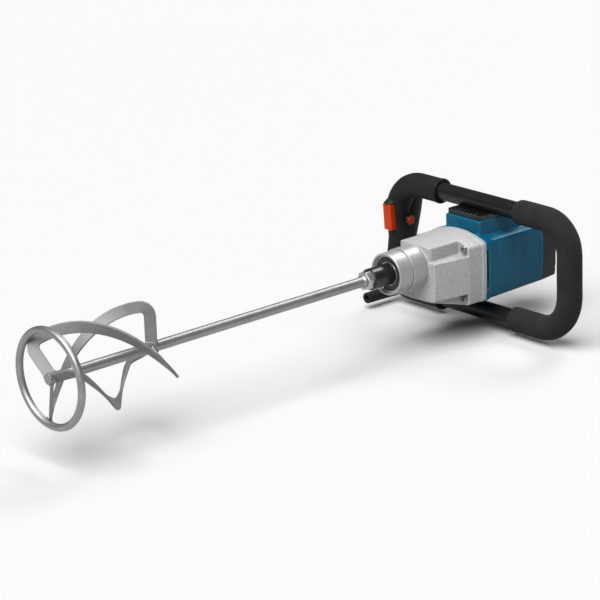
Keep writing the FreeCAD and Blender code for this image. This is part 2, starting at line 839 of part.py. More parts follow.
plate = new_body("PlateSolid")
plate_outline = casing_sketch(plate, plate_x, size.body_half_width - size.plate_inset - size.fit_clearance,
                              size.body_top - size.plate_inset - size.fit_clearance,
                              size.body_drop - size.plate_inset - size.fit_clearance,
                              size.room_corner_radius - size.fit_clearance)
pad(plate, plate_outline, size.plate_thickness)
tail_bush_radius = size.spindle_tail / 2 + size.bush_wall
spindle_boss = new_sketch(plate, "YZ_Plane", plate_x - size.plate_boss_length)
ring(spindle_boss, ZERO, ZERO, tail_bush_radius + size.plate_boss_wall)
pad(plate, spindle_boss, size.plate_boss_length)
motor_boss_radius = size.armature_bearing_diameter / 2 + size.bearing_boss_wall
motor_boss = new_sketch(plate, "YZ_Plane", plate_end)
ring(motor_boss, ZERO, motor_z, motor_boss_radius)
pad(plate, motor_boss, size.armature_front_boss)
spindle_seat = new_sketch(plate, "YZ_Plane", plate_x - size.plate_boss_length - size.cut_overrun)
ring(spindle_seat, ZERO, ZERO, tail_bush_radius)
pocket(plate, spindle_seat, size.plate_boss_length + size.cut_overrun)
motor_seat = new_sketch(plate, "YZ_Plane", plate_end + size.armature_front_boss - size.armature_bearing_width)
ring(motor_seat, ZERO, motor_z, size.armature_bearing_diameter / 2)
pocket(plate, motor_seat, size.armature_bearing_width + size.cut_overrun)
pinion_way = new_sketch(plate, "YZ_Plane", plate_x - size.cut_overrun)
ring(pinion_way, ZERO, motor_z, size.pinion_hole / 2)
pocket(plate, pinion_way, size.plate_thickness + size.cut_overrun * 2)
lay_seat = new_sketch(plate, "YZ_Plane", plate_x - size.cut_overrun)
ring(lay_seat, lay_y, lay_z, bush_radius)
pocket(plate, lay_seat, size.plate_thickness + size.cut_overrun)
plate_cuts = []
for index, (y, z) in enumerate(housing_screw_places):
    plate_cuts.append(rod("PlateHole%d" % index, size.housing_screw_shank / 2 + size.fit_clearance,
                          size.plate_thickness + size.cut_overrun * 2, plate_x - size.cut_overrun,
                          y, z, ALONG_X))
export(cut("GearPlate", plate, plate_cuts), "gear_plate")

# Bushes of the spindle tail and the layshaft

tail_bush = turned("TailBush", tube_points(plate_x - size.plate_boss_length, plate_x,
                                           size.spindle_tail / 2 + size.running_clearance,
                                           tail_bush_radius))
export(tail_bush, "spindle_rear_bush")
lay_bore = size.layshaft_journal / 2 + size.running_clearance
export(turned("LayFrontBush", tube_points(room_x - bush_depth, room_x, lay_bore, bush_radius), lay_y, lay_z),
       "layshaft_front_bush")
export(turned("LayRearBush", tube_points(plate_x, plate_end, lay_bore, bush_radius), lay_y, lay_z),
       "layshaft_rear_bush")

# Spindle with wrench nose and threaded socket

spindle_body = new_body("SpindleSolid")
spindle_profile = new_sketch(spindle_body, "XZ_Plane")
spindle_end = plate_x
hex_end = size.spindle_hex_length - size.spindle_reach
draw(spindle_profile, [
    (hex_end, ZERO), (spindle_end, ZERO), (spindle_end, size.spindle_tail / 2),
    (size.spindle_tail_start, size.spindle_tail / 2), (size.spindle_tail_start, size.spindle_gear_seat / 2),
    (size.spindle_gear_seat_start, size.spindle_gear_seat / 2),
    (size.spindle_gear_seat_start, size.spindle_seat / 2), (size.front_bearing_start, size.spindle_seat / 2),
    (size.front_bearing_start, size.spindle_diameter / 2), (hex_end, size.spindle_diameter / 2)])
revolve(spindle_body, spindle_profile)
spindle_nose = new_sketch(spindle_body, "YZ_Plane", -size.spindle_reach)
draw(spindle_nose, hexagon(size.spindle_hex, SPINDLE_HEX_TURN))
pad(spindle_body, spindle_nose, size.spindle_hex_length)
socket_sketch = new_sketch(spindle_body, "YZ_Plane", -(size.spindle_reach + size.cut_overrun))
ring(socket_sketch, ZERO, ZERO, size.thread_diameter / 2 + size.fit_clearance)
pocket(spindle_body, socket_sketch, size.thread_depth + size.cut_overrun)
key_length = size.output_gear_width - size.key_inset * 2
key_x = size.output_gear_start + size.key_inset
key_z = size.spindle_gear_seat / 2 - size.key_height / 2
key_way = box("KeyWay", key_x, -(size.key_width / 2), key_z, key_length, size.key_width, size.key_height)
export(cut("Spindle", spindle_body, [key_way]), "spindle")

# Output gear and its key

output_blank = gear("OutputBlank", size.output_gear_module, OUTPUT_TEETH, size.output_gear_start,
                    size.output_gear_width, ZERO, ZERO, lay_angle, True)
gear_bore = rod("OutputBore", size.spindle_gear_seat / 2, size.output_gear_width + size.cut_overrun * 2,
                size.output_gear_start - size.cut_overrun, ZERO, ZERO, ALONG_X)
gear_way = box("GearWay", size.output_gear_start - size.cut_overrun, -(size.key_width / 2), key_z,
               size.output_gear_width + size.cut_overrun * 2, size.key_width, size.key_height)
export(cut("OutputGear", output_blank, [gear_bore, gear_way]), "output_gear")
key = box("Key", key_x, -(size.key_width / 2), key_z, key_length, size.key_width, size.key_height)
export(key, "output_gear_key")

# Layshaft with its pinion, and the gear pressed on it

lay_gear_x = plate_x - size.motor_gear_gap - size.motor_gear_width
lay_solid = turned("LaySolid", [
    (room_x - bush_depth, ZERO), (plate_end, ZERO), (plate_end, size.layshaft_journal / 2),
    (plate_x - size.running_clearance * 4, size.layshaft_journal / 2),
    (plate_x - size.running_clearance * 4, size.layshaft_diameter / 2),
    (room_x + size.running_clearance * 4, size.layshaft_diameter / 2),
    (room_x + size.running_clearance * 4, size.layshaft_journal / 2),
    (room_x - bush_depth, size.layshaft_journal / 2)], lay_y, lay_z)
lay_pinion = gear("LayPinion", size.output_gear_module, LAYSHAFT_TEETH, size.output_gear_start,
                  size.output_gear_width, lay_y, lay_z, lay_angle + math.pi, False)
export(fuse("Layshaft", [lay_solid, lay_pinion]), "layshaft")
lay_blank = gear("LayGearBlank", size.motor_gear_module, LAYSHAFT_GEAR_TEETH, lay_gear_x,
                 size.motor_gear_width, lay_y, lay_z, motor_angle, True)
lay_hole = rod("LayGearBore", size.layshaft_diameter / 2, size.motor_gear_width + size.cut_overrun * 2,
               lay_gear_x - size.cut_overrun, lay_y, lay_z, ALONG_X)
export(cut("LayshaftGear", lay_blank, [lay_hole]), "layshaft_gear")

# Armature: shaft with pinion, core, commutator and fan

bearing_x = plate_end + size.armature_front_boss - size.armature_bearing_width
bearing_tail = plate_end + size.armature_front_boss
stator_x = joint_x + size.stator_start
stator_end = stator_x + size.stator_length
commutator_x = stator_end + size.commutator_gap
commutator_end = commutator_x + size.commutator_length
rear_bearing_end = cap_end - size.cap_wall
rear_bearing_x = rear_bearing_end - size.rear_bearing_width
pinion_shaft = size.motor_gear_module * MOTOR_TEETH / 2 - size.motor_gear_module * DEDENDUM_SHARE
shaft_solid = turned("ShaftSolid", [
    (lay_gear_x - size.motor_gear_gap / 4, ZERO), (rear_bearing_end, ZERO),
    (rear_bearing_end, size.rear_bearing_bore / 2), (rear_bearing_x, size.rear_bearing_bore / 2),
    (rear_bearing_x, size.armature_shaft / 2), (bearing_tail, size.armature_shaft / 2),
    (bearing_tail, size.armature_bearing_bore / 2), (plate_end, size.armature_bearing_bore / 2),
    (plate_end, pinion_shaft), (lay_gear_x - size.motor_gear_gap / 4, pinion_shaft)], ZERO, motor_z)
motor_pinion = gear("MotorPinion", size.motor_gear_module, MOTOR_TEETH, lay_gear_x - size.motor_gear_gap / 4,
                    size.motor_gear_width + size.motor_gear_gap, ZERO, motor_z, motor_angle + math.pi, False)
export(fuse("ArmatureShaft", [shaft_solid, motor_pinion]), "armature_shaft")

core = new_body("CoreSolid")
core_outline = new_sketch(core, "YZ_Plane", stator_x)
ring(core_outline, ZERO, ZERO, size.armature_core_diameter / 2)
ring(core_outline, ZERO, ZERO, size.armature_shaft / 2)
pad(core, core_outline, size.stator_length)
core_slot = new_sketch(core, "YZ_Plane", stator_x - size.cut_overrun)
rectangle(core_slot, -(size.armature_slot_width / 2), size.armature_slot_width / 2,
          size.armature_core_diameter / 2 - size.armature_slot_depth,
          size.armature_core_diameter / 2 + size.cut_overrun)
slot = pocket(core, core_slot, size.stator_length + size.cut_overrun * 2)
doc.recompute()
slots = core.newObject("PartDesign::PolarPattern", "Slots")
slots.Originals = [slot]
slots.Axis = (core_slot, ["N_Axis"])
slots.Angle = 360
slots.Occurrences = ARMATURE_SLOTS
core.Tip = slots
put(core, ZERO, ZERO, motor_z)
export(core, "armature_core")

commutator = turned("Commutator", tube_points(commutator_x, commutator_end, size.armature_shaft / 2,
                                              size.commutator_diameter / 2), ZERO, motor_z)
export(commutator, "commutator")

fan_x = bearing_tail + size.fan_gap
fan = new_body("FanSolid")
fan_disc = new_sketch(fan, "YZ_Plane", fan_x + size.fan_width - size.fan_plate)
ring(fan_disc, ZERO, ZERO, size.fan_diameter / 2)
pad(fan, fan_disc, size.fan_plate)
fan_hub = new_sketch(fan, "YZ_Plane", fan_x)
ring(fan_hub, ZERO, ZERO, size.fan_hub_diameter / 2)
pad(fan, fan_hub, size.fan_width)
fan_bore = new_sketch(fan, "YZ_Plane", fan_x - size.cut_overrun)
ring(fan_bore, ZERO, ZERO, size.armature_shaft / 2)
pocket(fan, fan_bore, size.fan_width + size.cut_overrun * 2)
fan_blade = new_sketch(fan, "YZ_Plane", fan_x)
rectangle(fan_blade, -(size.fan_blade_thickness / 2), size.fan_blade_thickness / 2,
          size.fan_hub_diameter / 2 - size.fan_blade_thickness,
          size.fan_diameter / 2 - size.fan_blade_thickness)
blade_pad = pad(fan, fan_blade, size.fan_width)
doc.recompute()
fan_blades = fan.newObject("PartDesign::PolarPattern", "Blades")
fan_blades.Originals = [blade_pad]
fan_blades.Axis = (fan_blade, ["N_Axis"])
fan_blades.Angle = 360
fan_blades.Occurrences = FAN_BLADES
fan.Tip = fan_blades
put(fan, ZERO, ZERO, motor_z)
export(fan, "cooling_fan")

# Armature bearings

export(ball_bearing("ArmatureFrontBearing", bearing_x, size.armature_bearing_width,
                    size.armature_bearing_bore + size.running_clearance * 2, size.armature_bearing_diameter,
                    ZERO, motor_z), "armature_front_bearing")
export(ball_bearing("ArmatureRearBearing", rear_bearing_x, size.rear_bearing_width,
                    size.rear_bearing_bore + size.running_clearance * 2, size.rear_bearing_diameter,
                    ZERO, motor_z), "armature_rear_bearing")

# Stator core and its two coils

stator = new_body("StatorSolid")
stator_outline = new_sketch(stator, "YZ_Plane", stator_x)
ring(stator_outline, ZERO, ZERO, size.stator_diameter / 2)
ring(stator_outline, ZERO, ZERO, size.stator_bore / 2)
pad(stator, stator_outline, size.stator_length)
stator_slots = new_sketch(stator, "YZ_Plane", stator_x - size.cut_overrun)
slot_reach = size.stator_bore / 2 + size.stator_slot_depth
rectangle(stator_slots, -slot_reach, slot_reach, -(size.stator_slot_height / 2), size.stator_slot_height / 2)
pocket(stator, stator_slots, size.stator_length + size.cut_overrun * 2)
put(stator, ZERO, ZERO, motor_z)
export(stator, "stator_core")
coils = []
for side, low in (("Left", size.stator_bore / 2), ("Right", -slot_reach)):
    coils.append(box("Coil" + side, stator_x - size.coil_overhang, low,
                     motor_z - size.stator_slot_height / 2,
                     size.stator_length + size.coil_overhang * 2, size.stator_slot_depth,
                     size.stator_slot_height))
export(group("FieldCoils", coils), "field_coils")

# Blue motor housing with pedestal, foot, ribs and vents

rear_half_width = size.body_half_width - size.housing_taper
rear_top = size.body_top - size.housing_taper
rear_drop = size.body_drop - size.housing_belly_taper
cap_screw_spread = rear_half_width - size.cap_screw_edge
cap_screw_places = [(cap_screw_spread, size.cap_screw_rise),
                    (-cap_screw_spread, size.cap_screw_rise),
                    (cap_screw_spread, -size.cap_screw_drop),
                    (-cap_screw_spread, -size.cap_screw_drop)]
housing = new_body("HousingSolid")
outer_front = casing_sketch(housing, joint_x, size.body_half_width, size.body_top, size.body_drop,
                            size.corner_radius)
outer_rear = casing_sketch(housing, housing_end, rear_half_width, rear_top, rear_drop, size.corner_radius)
loft(housing, outer_front, outer_rear)
rim_step = size.flange_lip + size.rim_proud
rim = casing_sketch(housing, joint_x, size.body_half_width + rim_step, size.body_top + rim_step,
                    size.body_drop + rim_step, size.corner_radius + rim_step)
pad(housing, rim, size.vent_width + size.rim_length)
pedestal_x = handle_x - size.pedestal_length / 2
pedestal_end = handle_x + size.pedestal_length / 2
pedestal = new_sketch(housing, "XZ_Plane", -size.pedestal_half_width)
draw(pedestal, [(pedestal_x, ZERO), (pedestal_end + size.pedestal_slope, ZERO),
                (pedestal_end + size.pedestal_slope, rear_top - size.housing_wall),
                (pedestal_end, size.pedestal_top), (pedestal_x, size.pedestal_top)])
pad(housing, pedestal, size.pedestal_half_width * 2)
foot = new_sketch(housing, "XY_Plane", -foot_drop)
rectangle(foot, handle_x - size.foot_length / 2, handle_x + size.foot_length / 2, -size.foot_half_width,
          size.foot_half_width)
pad(housing, foot, foot_drop - rear_drop + size.housing_wall)
inner_front = casing_sketch(housing, joint_x, size.body_half_width - size.housing_wall,
                            size.body_top - size.housing_wall, size.body_drop - size.housing_wall,
                            size.room_corner_radius)
inner_rear = casing_sketch(housing, housing_end, rear_half_width - size.housing_wall,
                           rear_top - size.housing_wall, rear_drop - size.housing_wall,
                           size.room_corner_radius)
loft(housing, inner_front, inner_rear, "PartDesign::SubtractiveLoft")
module_room = new_sketch(housing, "XY_Plane", ZERO)
rectangle(module_room, pedestal_x + size.pedestal_wall, pedestal_end - size.pedestal_wall,
          -(size.pedestal_half_width - size.pedestal_wall), size.pedestal_half_width - size.pedestal_wall)
pocket(housing, module_room, size.pedestal_top - size.pedestal_wall)
rib_x = joint_x + size.housing_rib_start
ribs = new_sketch(housing, "YZ_Plane", rib_x)
rib_reach = rear_half_width - size.housing_wall / 2
rectangle(ribs, -rib_reach, rib_reach, motor_z - size.housing_rib / 2, motor_z + size.housing_rib / 2)
pad(housing, ribs, size.housing_rib_length)
keels = new_sketch(housing, "YZ_Plane", rib_x)
rectangle(keels, -(size.housing_rib / 2), size.housing_rib / 2, -(rear_drop - size.housing_wall / 2), motor_z)
pad(housing, keels, size.housing_rib_length)
posts = new_sketch(housing, "YZ_Plane", housing_end - size.housing_post_length)
for y, z in cap_screw_places:
    ring(posts, y, z, size.housing_post / 2)
pad(housing, posts, size.housing_post_length)
stator_seat = new_sketch(housing, "YZ_Plane", rib_x - size.cut_overrun)
ring(stator_seat, ZERO, motor_z, size.stator_diameter / 2)
pocket(housing, stator_seat, size.housing_rib_length + size.cut_overrun * 2)
housing_cuts = []
vent_start = size.body_half_width - size.vent_depth
vent_reach = size.vent_depth + rim_step + size.cut_overrun
for side, low in (("left", vent_start), ("right", -(vent_start + vent_reach))):
    housing_cuts.append(box("SideVent_" + side, joint_x - size.cut_overrun, low, -size.vent_drop,
                            size.vent_width + size.cut_overrun, vent_reach,
                            size.vent_top + size.vent_drop))
housing_cuts.append(box("TopVent", joint_x - size.cut_overrun, -size.vent_arch_half_width,
                        size.body_top - size.vent_depth, size.vent_width + size.cut_overrun,
                        size.vent_arch_half_width * 2, vent_reach))
export(cut("MotorHousing", housing, housing_cuts), "motor_housing")

# Air guide ring in front of the stator

guide = turned("AirGuide", tube_points(rib_x - size.guide_thickness, rib_x, size.guide_bore / 2,
                                       size.stator_diameter / 2 + size.guide_thickness), ZERO, motor_z)
export(guide, "air_guide")

# Speed control module under the pedestal's roof

module_top = size.pedestal_top - size.pedestal_wall
module_x = handle_x - size.module_length / 2
module_plate = box("ModulePlate", module_x, -size.module_half_width,
                   module_top - size.module_drop - size.module_height, size.module_length,
                   size.module_half_width * 2, size.module_height)
module_rail = box("ModuleRail", module_x, -size.module_half_width, module_top - size.module_drop,
                  size.module_rail, size.module_half_width * 2, size.module_drop)
export(fuse("Module", [module_plate, module_rail]), "control_module")

# Black rear cap with slots, screw posts and bearing boss

cap = new_body("CapSolid")
cap_front = casing_sketch(cap, housing_end, rear_half_width, rear_top, rear_drop, size.corner_radius)
cap_rear = casing_sketch(cap, cap_end, rear_half_width - size.cap_taper, rear_top - size.cap_taper,
                         rear_drop - size.housing_belly_taper, size.corner_radius)
loft(cap, cap_front, cap_rear)
cap_room_front = casing_sketch(cap, housing_end, rear_half_width - size.cap_wall, rear_top - size.cap_wall,
                               rear_drop - size.cap_wall, size.corner_radius)
cap_room_rear = casing_sketch(cap, rear_bearing_end, rear_half_width - size.cap_taper - size.cap_wall,
                              rear_top - size.cap_taper - size.cap_wall,
                              rear_drop - size.housing_belly_taper - size.cap_wall, size.corner_radius)
loft(cap, cap_room_front, cap_room_rear, "PartDesign::SubtractiveLoft")
brush_x = housing_end
brush_plate_end = brush_x + size.brush_plate_thickness
cap_boss = new_sketch(cap, "YZ_Plane", rear_bearing_x - size.bearing_boss_wall)
ring(cap_boss, ZERO, motor_z, size.rear_bearing_diameter / 2 + size.bearing_boss_wall)
ring(cap_boss, ZERO, motor_z, size.rear_bearing_diameter / 2)
pad(cap, cap_boss, size.rear_bearing_width + size.bearing_boss_wall + size.cap_wall / 2)
posts = new_sketch(cap, "YZ_Plane", brush_plate_end)
for y, z in cap_screw_places:
    ring(posts, y, z, size.cap_screw_post / 2)
pad(cap, posts, cap_end - brush_plate_end - size.cap_wall / 2)
cap_slots = new_sketch(cap, "YZ_Plane", rear_bearing_end - size.cut_overrun)
for side in (1, -1):
    for index in range(CAP_SLOTS):
        low = size.cap_slot_offset + size.cap_slot_pitch * index
        z_low = motor_z - size.cap_slot_length / 2
        left = low if side == 1 else -(low + size.cap_slot_width)
        rectangle(cap_slots, left, left + size.cap_slot_width, z_low, z_low + size.cap_slot_length)
pocket(cap, cap_slots, size.cap_wall + size.cut_overrun * 2)
cap_cuts = []
for index, (y, z) in enumerate(cap_screw_places):
    cap_cuts.append(rod("CapSink%d" % index, size.housing_screw_head / 2 + size.fit_clearance,
                        size.housing_screw_head_length + size.cut_overrun,
                        cap_end - size.housing_screw_head_length, y, z, ALONG_X))
    cap_cuts.append(rod("CapHole%d" % index, size.housing_screw_shank / 2 + size.fit_clearance,
                        size.cap_length + size.cut_overrun * 2,
                        housing_end - size.cut_overrun, y, z, ALONG_X))
export(cut("RearCap", cap, cap_cuts), "rear_cap")

cap_screws = []
for index, (y, z) in enumerate(cap_screw_places):
    item = screw("CapScrew%d" % index, size.housing_screw_head, size.housing_screw_head_length,
                 size.housing_screw_shank, size.cap_screw_length)
    cap_screws.append(put(item, cap_end, y, z, TURN_BACK))
export(group("CapScrews", cap_screws), "rear_cap_screws")

# Brush plate with two holders, and the carbon brushes

brush_inset = size.housing_wall + size.brush_plate_inset
brush_plate = new_body("BrushPlateSolid")
brush_outline = casing_sketch(brush_plate, brush_x, rear_half_width - brush_inset, rear_top - brush_inset,
                              rear_drop - brush_inset, size.corner_radius)
pad(brush_plate, brush_outline, size.brush_plate_thickness)
brush_hole = new_sketch(brush_plate, "YZ_Plane", brush_x - size.cut_overrun)
ring(brush_hole, ZERO, motor_z, size.brush_plate_bore / 2)
pocket(brush_plate, brush_hole, size.brush_plate_thickness + size.cut_overrun * 2)
brush_middle = commutator_x + size.commutator_length / 2
holder_y = size.commutator_diameter / 2 + size.brush_holder_gap
holder_x = brush_middle - size.brush_width / 2 - size.brush_holder_wall
holder_height = size.brush_height + size.brush_holder_wall * 2
holder_parts = [brush_plate]
holder_cuts = []
brushes = []
brush_y = size.commutator_diameter / 2 + size.running_clearance * 2
for side in (1, -1):
    start = holder_y if side == 1 else -(holder_y + size.brush_holder_length)
    holder_parts.append(box("Holder%d" % len(holder_parts), holder_x, start, motor_z - holder_height / 2,
                            brush_x - holder_x, size.brush_holder_length, holder_height))
    slot_start = start - size.cut_overrun
    holder_cuts.append(box("HolderSlot%d" % len(holder_cuts), brush_middle - size.brush_width / 2, slot_start,
                           motor_z - size.brush_height / 2, size.brush_width,
                           size.brush_holder_length + size.cut_overrun * 2, size.brush_height))
    brush_start = brush_y if side == 1 else -(brush_y + size.brush_length)
    brushes.append(box("Brush%d" % len(brushes), brush_middle - size.brush_width / 2, brush_start,
                       motor_z - size.brush_height / 2, size.brush_width, size.brush_length,
                       size.brush_height))
for index, (y, z) in enumerate(cap_screw_places):
    holder_cuts.append(rod("BrushPlateHole%d" % index, size.housing_screw_shank / 2 + size.fit_clearance,
                           size.brush_plate_thickness + size.cut_overrun * 2, brush_x - size.cut_overrun,
                           y, z, ALONG_X))
export(cut("BrushHolders", fuse("HolderSolid", holder_parts), holder_cuts), "brush_holders")
export(group("Brushes", brushes), "carbon_brushes")


# Bent pipes in the handle plane

def loop_path(body, reach, side, upper_bend, lower_bend, low_reach):
    """A U of tube centre lines, open towards the other side, in the handle plane."""
    path = new_sketch(body, "YZ_Plane", handle_x)
    top = tube_top
    low = -tube_drop
    edge = side.value
    sign = 1 if edge > 0 else -1
    up = upper_bend.value
    down = lower_bend.value
    inner_up = edge - sign * up
    inner_down = edge - sign * down
    path.addGeometry(Part.LineSegment(Vector(reach.value, top.value, 0),
                                      Vector(inner_up, top.value, 0)), False)
    start = 0 if sign > 0 else math.pi / 2
    circle = Part.Circle(Vector(inner_up, top.value - up, 0), Vector(0, 0, 1), up)
    path.addGeometry(Part.ArcOfCircle(circle, start, start + math.pi / 2), False)
    path.addGeometry(Part.LineSegment(Vector(edge, top.value - up, 0),
                                      Vector(edge, low.value + down, 0)), False)
    start = -math.pi / 2 if sign > 0 else math.pi
    circle = Part.Circle(Vector(inner_down, low.value + down, 0), Vector(0, 0, 1), down)
    path.addGeometry(Part.ArcOfCircle(circle, start, start + math.pi / 2), False)
    path.addGeometry(Part.LineSegment(Vector(inner_down, low.value, 0),
                                      Vector(low_reach.value, low.value, 0)), False)
    first, last = (2, 1) if sign > 0 else (1, 2)
    path.addConstraint(Sketcher.Constraint("Tangent", 0, 2, 1, first))
    path.addConstraint(Sketcher.Constraint("Tangent", 1, last, 2, 1))
    path.addConstraint(Sketcher.Constraint("Tangent", 2, 2, 3, first))
    path.addConstraint(Sketcher.Constraint("Tangent", 3, last, 4, 1))
    path.addConstraint(Sketcher.Constraint("Horizontal", 0))
    path.addConstraint(Sketcher.Constraint("Vertical", 2))
    path.addConstraint(Sketcher.Constraint("Horizontal", 4))
    pin(path, 0, 1, reach, top)
    pin(path, 4, 2, low_reach, low)
    for edge_index, radius in ((1, upper_bend), (3, lower_bend)):
        held = path.addConstraint(Sketcher.Constraint("Radius", edge_index, radius.value))
        bind(path, "Constraints[%d]" % held, radius)
    held = path.addConstraint(Sketcher.Constraint("DistanceX", -1, 1, 2, 1, edge))
    bind(path, "Constraints[%d]" % held, side)
    return path


def bent_pipe(name, reach, side, upper_bend, lower_bend, low_reach, radii):
    """A round bar or tube along the loop, from radii given outside first."""
    body = new_body(name)
    path = loop_path(body, reach, side, upper_bend, lower_bend, low_reach)
    profile = new_sketch(body, "XZ_Plane", -reach)
    for radius in radii:
        ring(profile, handle_x, tube_top, radius)
    doc.recompute()
    pipe = body.newObject("PartDesign::AdditivePipe", "Pipe")
    pipe.Profile = profile
    pipe.Spine = (path, ["Edge%d" % (index + 1) for index in range(5)])
    return body


# Steel frame tube

tube_radius = size.tube_diameter / 2
frame = bent_pipe("FrameTube", size.tube_end, -size.frame_half_width, size.frame_upper_bend,
                  size.frame_lower_bend, size.tube_end, [tube_radius, tube_radius - size.tube_wall])
export(frame, "frame_tube")

# Foam grip over the tube's free end

foam = bent_pipe("FoamGrip", -size.foam_top_start, -size.frame_half_width, size.frame_upper_bend,
                 size.frame_lower_bend, -size.foam_bottom_start,
                 [size.foam_diameter / 2, tube_radius + size.running_clearance])
export(foam, "foam_grip")

# Ribbed upper saddle between pedestal and tube

saddle_x = handle_x - size.saddle_length / 2
saddle = box("SaddleBlock", saddle_x, -size.saddle_half_width, size.pedestal_top, size.saddle_length,
             size.saddle_half_width * 2, size.saddle_height)
saddle_cuts = [rod("SaddleGroove", tube_radius, size.saddle_half_width * 2 + size.cut_overrun * 2, handle_x,
                   -(size.saddle_half_width + size.cut_overrun), tube_top, ALONG_Y)]
for index in range(SADDLE_RIBS):
    rib_y = size.saddle_rib_pitch * (index - (SADDLE_RIBS - 1) / 2) - size.saddle_rib_width / 2
    saddle_cuts.append(box("SaddleRib%d" % index, saddle_x - size.cut_overrun, rib_y,
                           size.pedestal_top + size.saddle_height - size.saddle_rib_depth,
                           size.saddle_length + size.cut_overrun * 2, size.saddle_rib_width,
                           size.saddle_rib_depth + size.cut_overrun))
export(cut("UpperSaddle", saddle, saddle_cuts), "upper_saddle")

# Lower saddle between the housing's foot and the lower tube

lower_depth = tube_drop - foot_drop - size.lower_saddle_wrap
lower_y = size.lower_saddle_shift - size.lower_saddle_half_width
lower = box("LowerBlock", handle_x - size.lower_saddle_length / 2, lower_y,
            -(foot_drop + lower_depth), size.lower_saddle_length, size.lower_saddle_half_width * 2,
            lower_depth)
lower_groove = rod("LowerGroove", tube_radius, size.lower_saddle_half_width * 2 + size.cut_overrun * 2,
                   handle_x, lower_y - size.cut_overrun, -tube_drop, ALONG_Y)
export(cut("LowerSaddle", lower, [lower_groove]), "lower_saddle")

# Frame screws through both saddles into the tube

frame_screws = []
upper_length = size.pedestal_wall + tube_top - tube_radius - size.pedestal_top + size.frame_screw_grip
lower_length = tube_drop - tube_radius - rear_drop + size.housing_wall + size.frame_screw_grip
for side in (1, -1):
    spread = size.frame_screw_spread if side == 1 else -size.frame_screw_spread
    item = screw("UpperFrameScrew%d" % side, size.frame_screw_head, size.frame_screw_head_length,
                 size.frame_screw_shank, upper_length)
    frame_screws.append(put(item, handle_x, spread, module_top - size.frame_screw_head_length, X_TO_UP))
    item = screw("LowerFrameScrew%d" % side, size.frame_screw_head, size.frame_screw_head_length,
                 size.frame_screw_shank, lower_length)
    frame_screws.append(put(item, handle_x, size.lower_saddle_shift + spread,
                            size.housing_wall - rear_drop + size.frame_screw_head_length, X_TO_DOWN))
export(group("FrameScrews", frame_screws), "frame_screws")


# Switch handle: bent sleeve, grip and hood, split into a front and a rear shell

def oval_loft(name, levels, inset):
    """A loft through level ovals of the grip, each given as level, shift, depth and width."""
    ovals = []
    for index, (level, shift, depth, width) in enumerate(levels):
        oval = doc.addObject("Part::Ellipse", "%sOval%d" % (name, index))
        bind(oval, "MajorRadius", depth / 2 - inset)
        bind(oval, "MinorRadius", width / 2 - inset)
        put(oval, handle_x + shift, size.grip_distance, level)
        ovals.append(oval)
    item = doc.addObject("Part::Loft", name)
    item.Sections = ovals
    item.Solid = True
    return item


grip_levels = [
    (tube_top - size.grip_top_gap, size.grip_top_shift, size.grip_top_depth, size.grip_top_width),
    (size.grip_trigger_level, size.grip_trigger_shift, size.grip_trigger_depth, size.grip_trigger_width),
    (-size.grip_waist_drop, size.grip_waist_shift, size.grip_waist_depth, size.grip_waist_width),
    (size.handle_lower_bend - tube_drop, size.grip_bottom_shift,
     size.grip_bottom_depth, size.grip_bottom_width)]
sleeve_radius = size.sleeve_diameter / 2


def sleeve_pieces(name, radius, overrun):
    """The two straight arms and the two bends of the switch handle."""
    pieces = []
    for kind, level, bend, turn in (("Upper", tube_top, size.handle_upper_bend, ALONG_X_UP),
                                    ("Lower", -tube_drop, size.handle_lower_bend, ALONG_X_DOWN)):
        bend_y = size.grip_distance - bend
        bend_z = level - bend if kind == "Upper" else level + bend
        pieces.append(rod(name + kind + "Arm", radius, bend_y - size.sleeve_end + overrun, handle_x,
                          size.sleeve_end - overrun, level, ALONG_Y))
        elbow = doc.addObject("Part::Torus", name + kind + "Bend")
        bind(elbow, "Radius1", bend)
        bind(elbow, "Radius2", radius)
        elbow.Angle3 = 90
        pieces.append(put(elbow, handle_x, bend_y, bend_z, turn))
    return pieces


sleeve_solids = sleeve_pieces("Sleeve", sleeve_radius, ZERO)
sleeve_bores = sleeve_pieces("SleeveBore", tube_radius + size.running_clearance, size.cut_overrun)
grip = oval_loft("GripSolid", grip_levels, ZERO)
grip_room = oval_loft("GripRoom", grip_levels, size.grip_wall)
hood = oval_loft("Hood", [
    (size.hood_base, size.hood_depth / 2 - size.hood_reach, size.hood_depth, size.hood_width),
    (size.hood_top, size.hood_top_depth / 2 - size.hood_top_reach, size.hood_top_depth,
     size.hood_top_width)], ZERO)
shoulder_width = size.sleeve_diameter - size.shoulder_sink * 2
shoulder = oval_loft("Shoulder", [
    (tube_top - size.handle_upper_bend + size.shoulder_lap, ZERO, shoulder_width, shoulder_width),
    (-size.grip_waist_drop, size.grip_waist_shift, size.grip_waist_depth - size.shoulder_sink * 2,
     size.grip_waist_width - size.shoulder_sink * 2)], ZERO)
lips = []
for level in (tube_top, -tube_drop):
    lips.append(rod("SleeveLip%d" % len(lips), sleeve_radius + size.sleeve_lip, size.sleeve_lip_length,
                    handle_x, size.sleeve_end, level, ALONG_Y))
grip_inner = size.grip_distance - size.grip_trigger_width / 2
lock_x = handle_x + size.lock_shift
handle_outer = fuse("HandleOuter", sleeve_solids + [grip, shoulder, hood] + lips)
shell_screw_places = [
    (size.grip_distance - size.shell_screw_high_inset, tube_top - size.shell_screw_high_gap),
    (size.grip_distance, -size.shell_screw_low_drop),
    (size.grip_distance - size.shell_screw_base_inset, size.shell_screw_base_gap - tube_drop)]
post_items = []
shell_reach = size.grip_top_depth
for index, (y, z) in enumerate(shell_screw_places):
    post_items.append(rod("ShellPost%d" % index, size.shell_post / 2, shell_reach * 2,
                          handle_x - shell_reach, y, z, ALONG_X))
switch_x = handle_x + size.switch_front
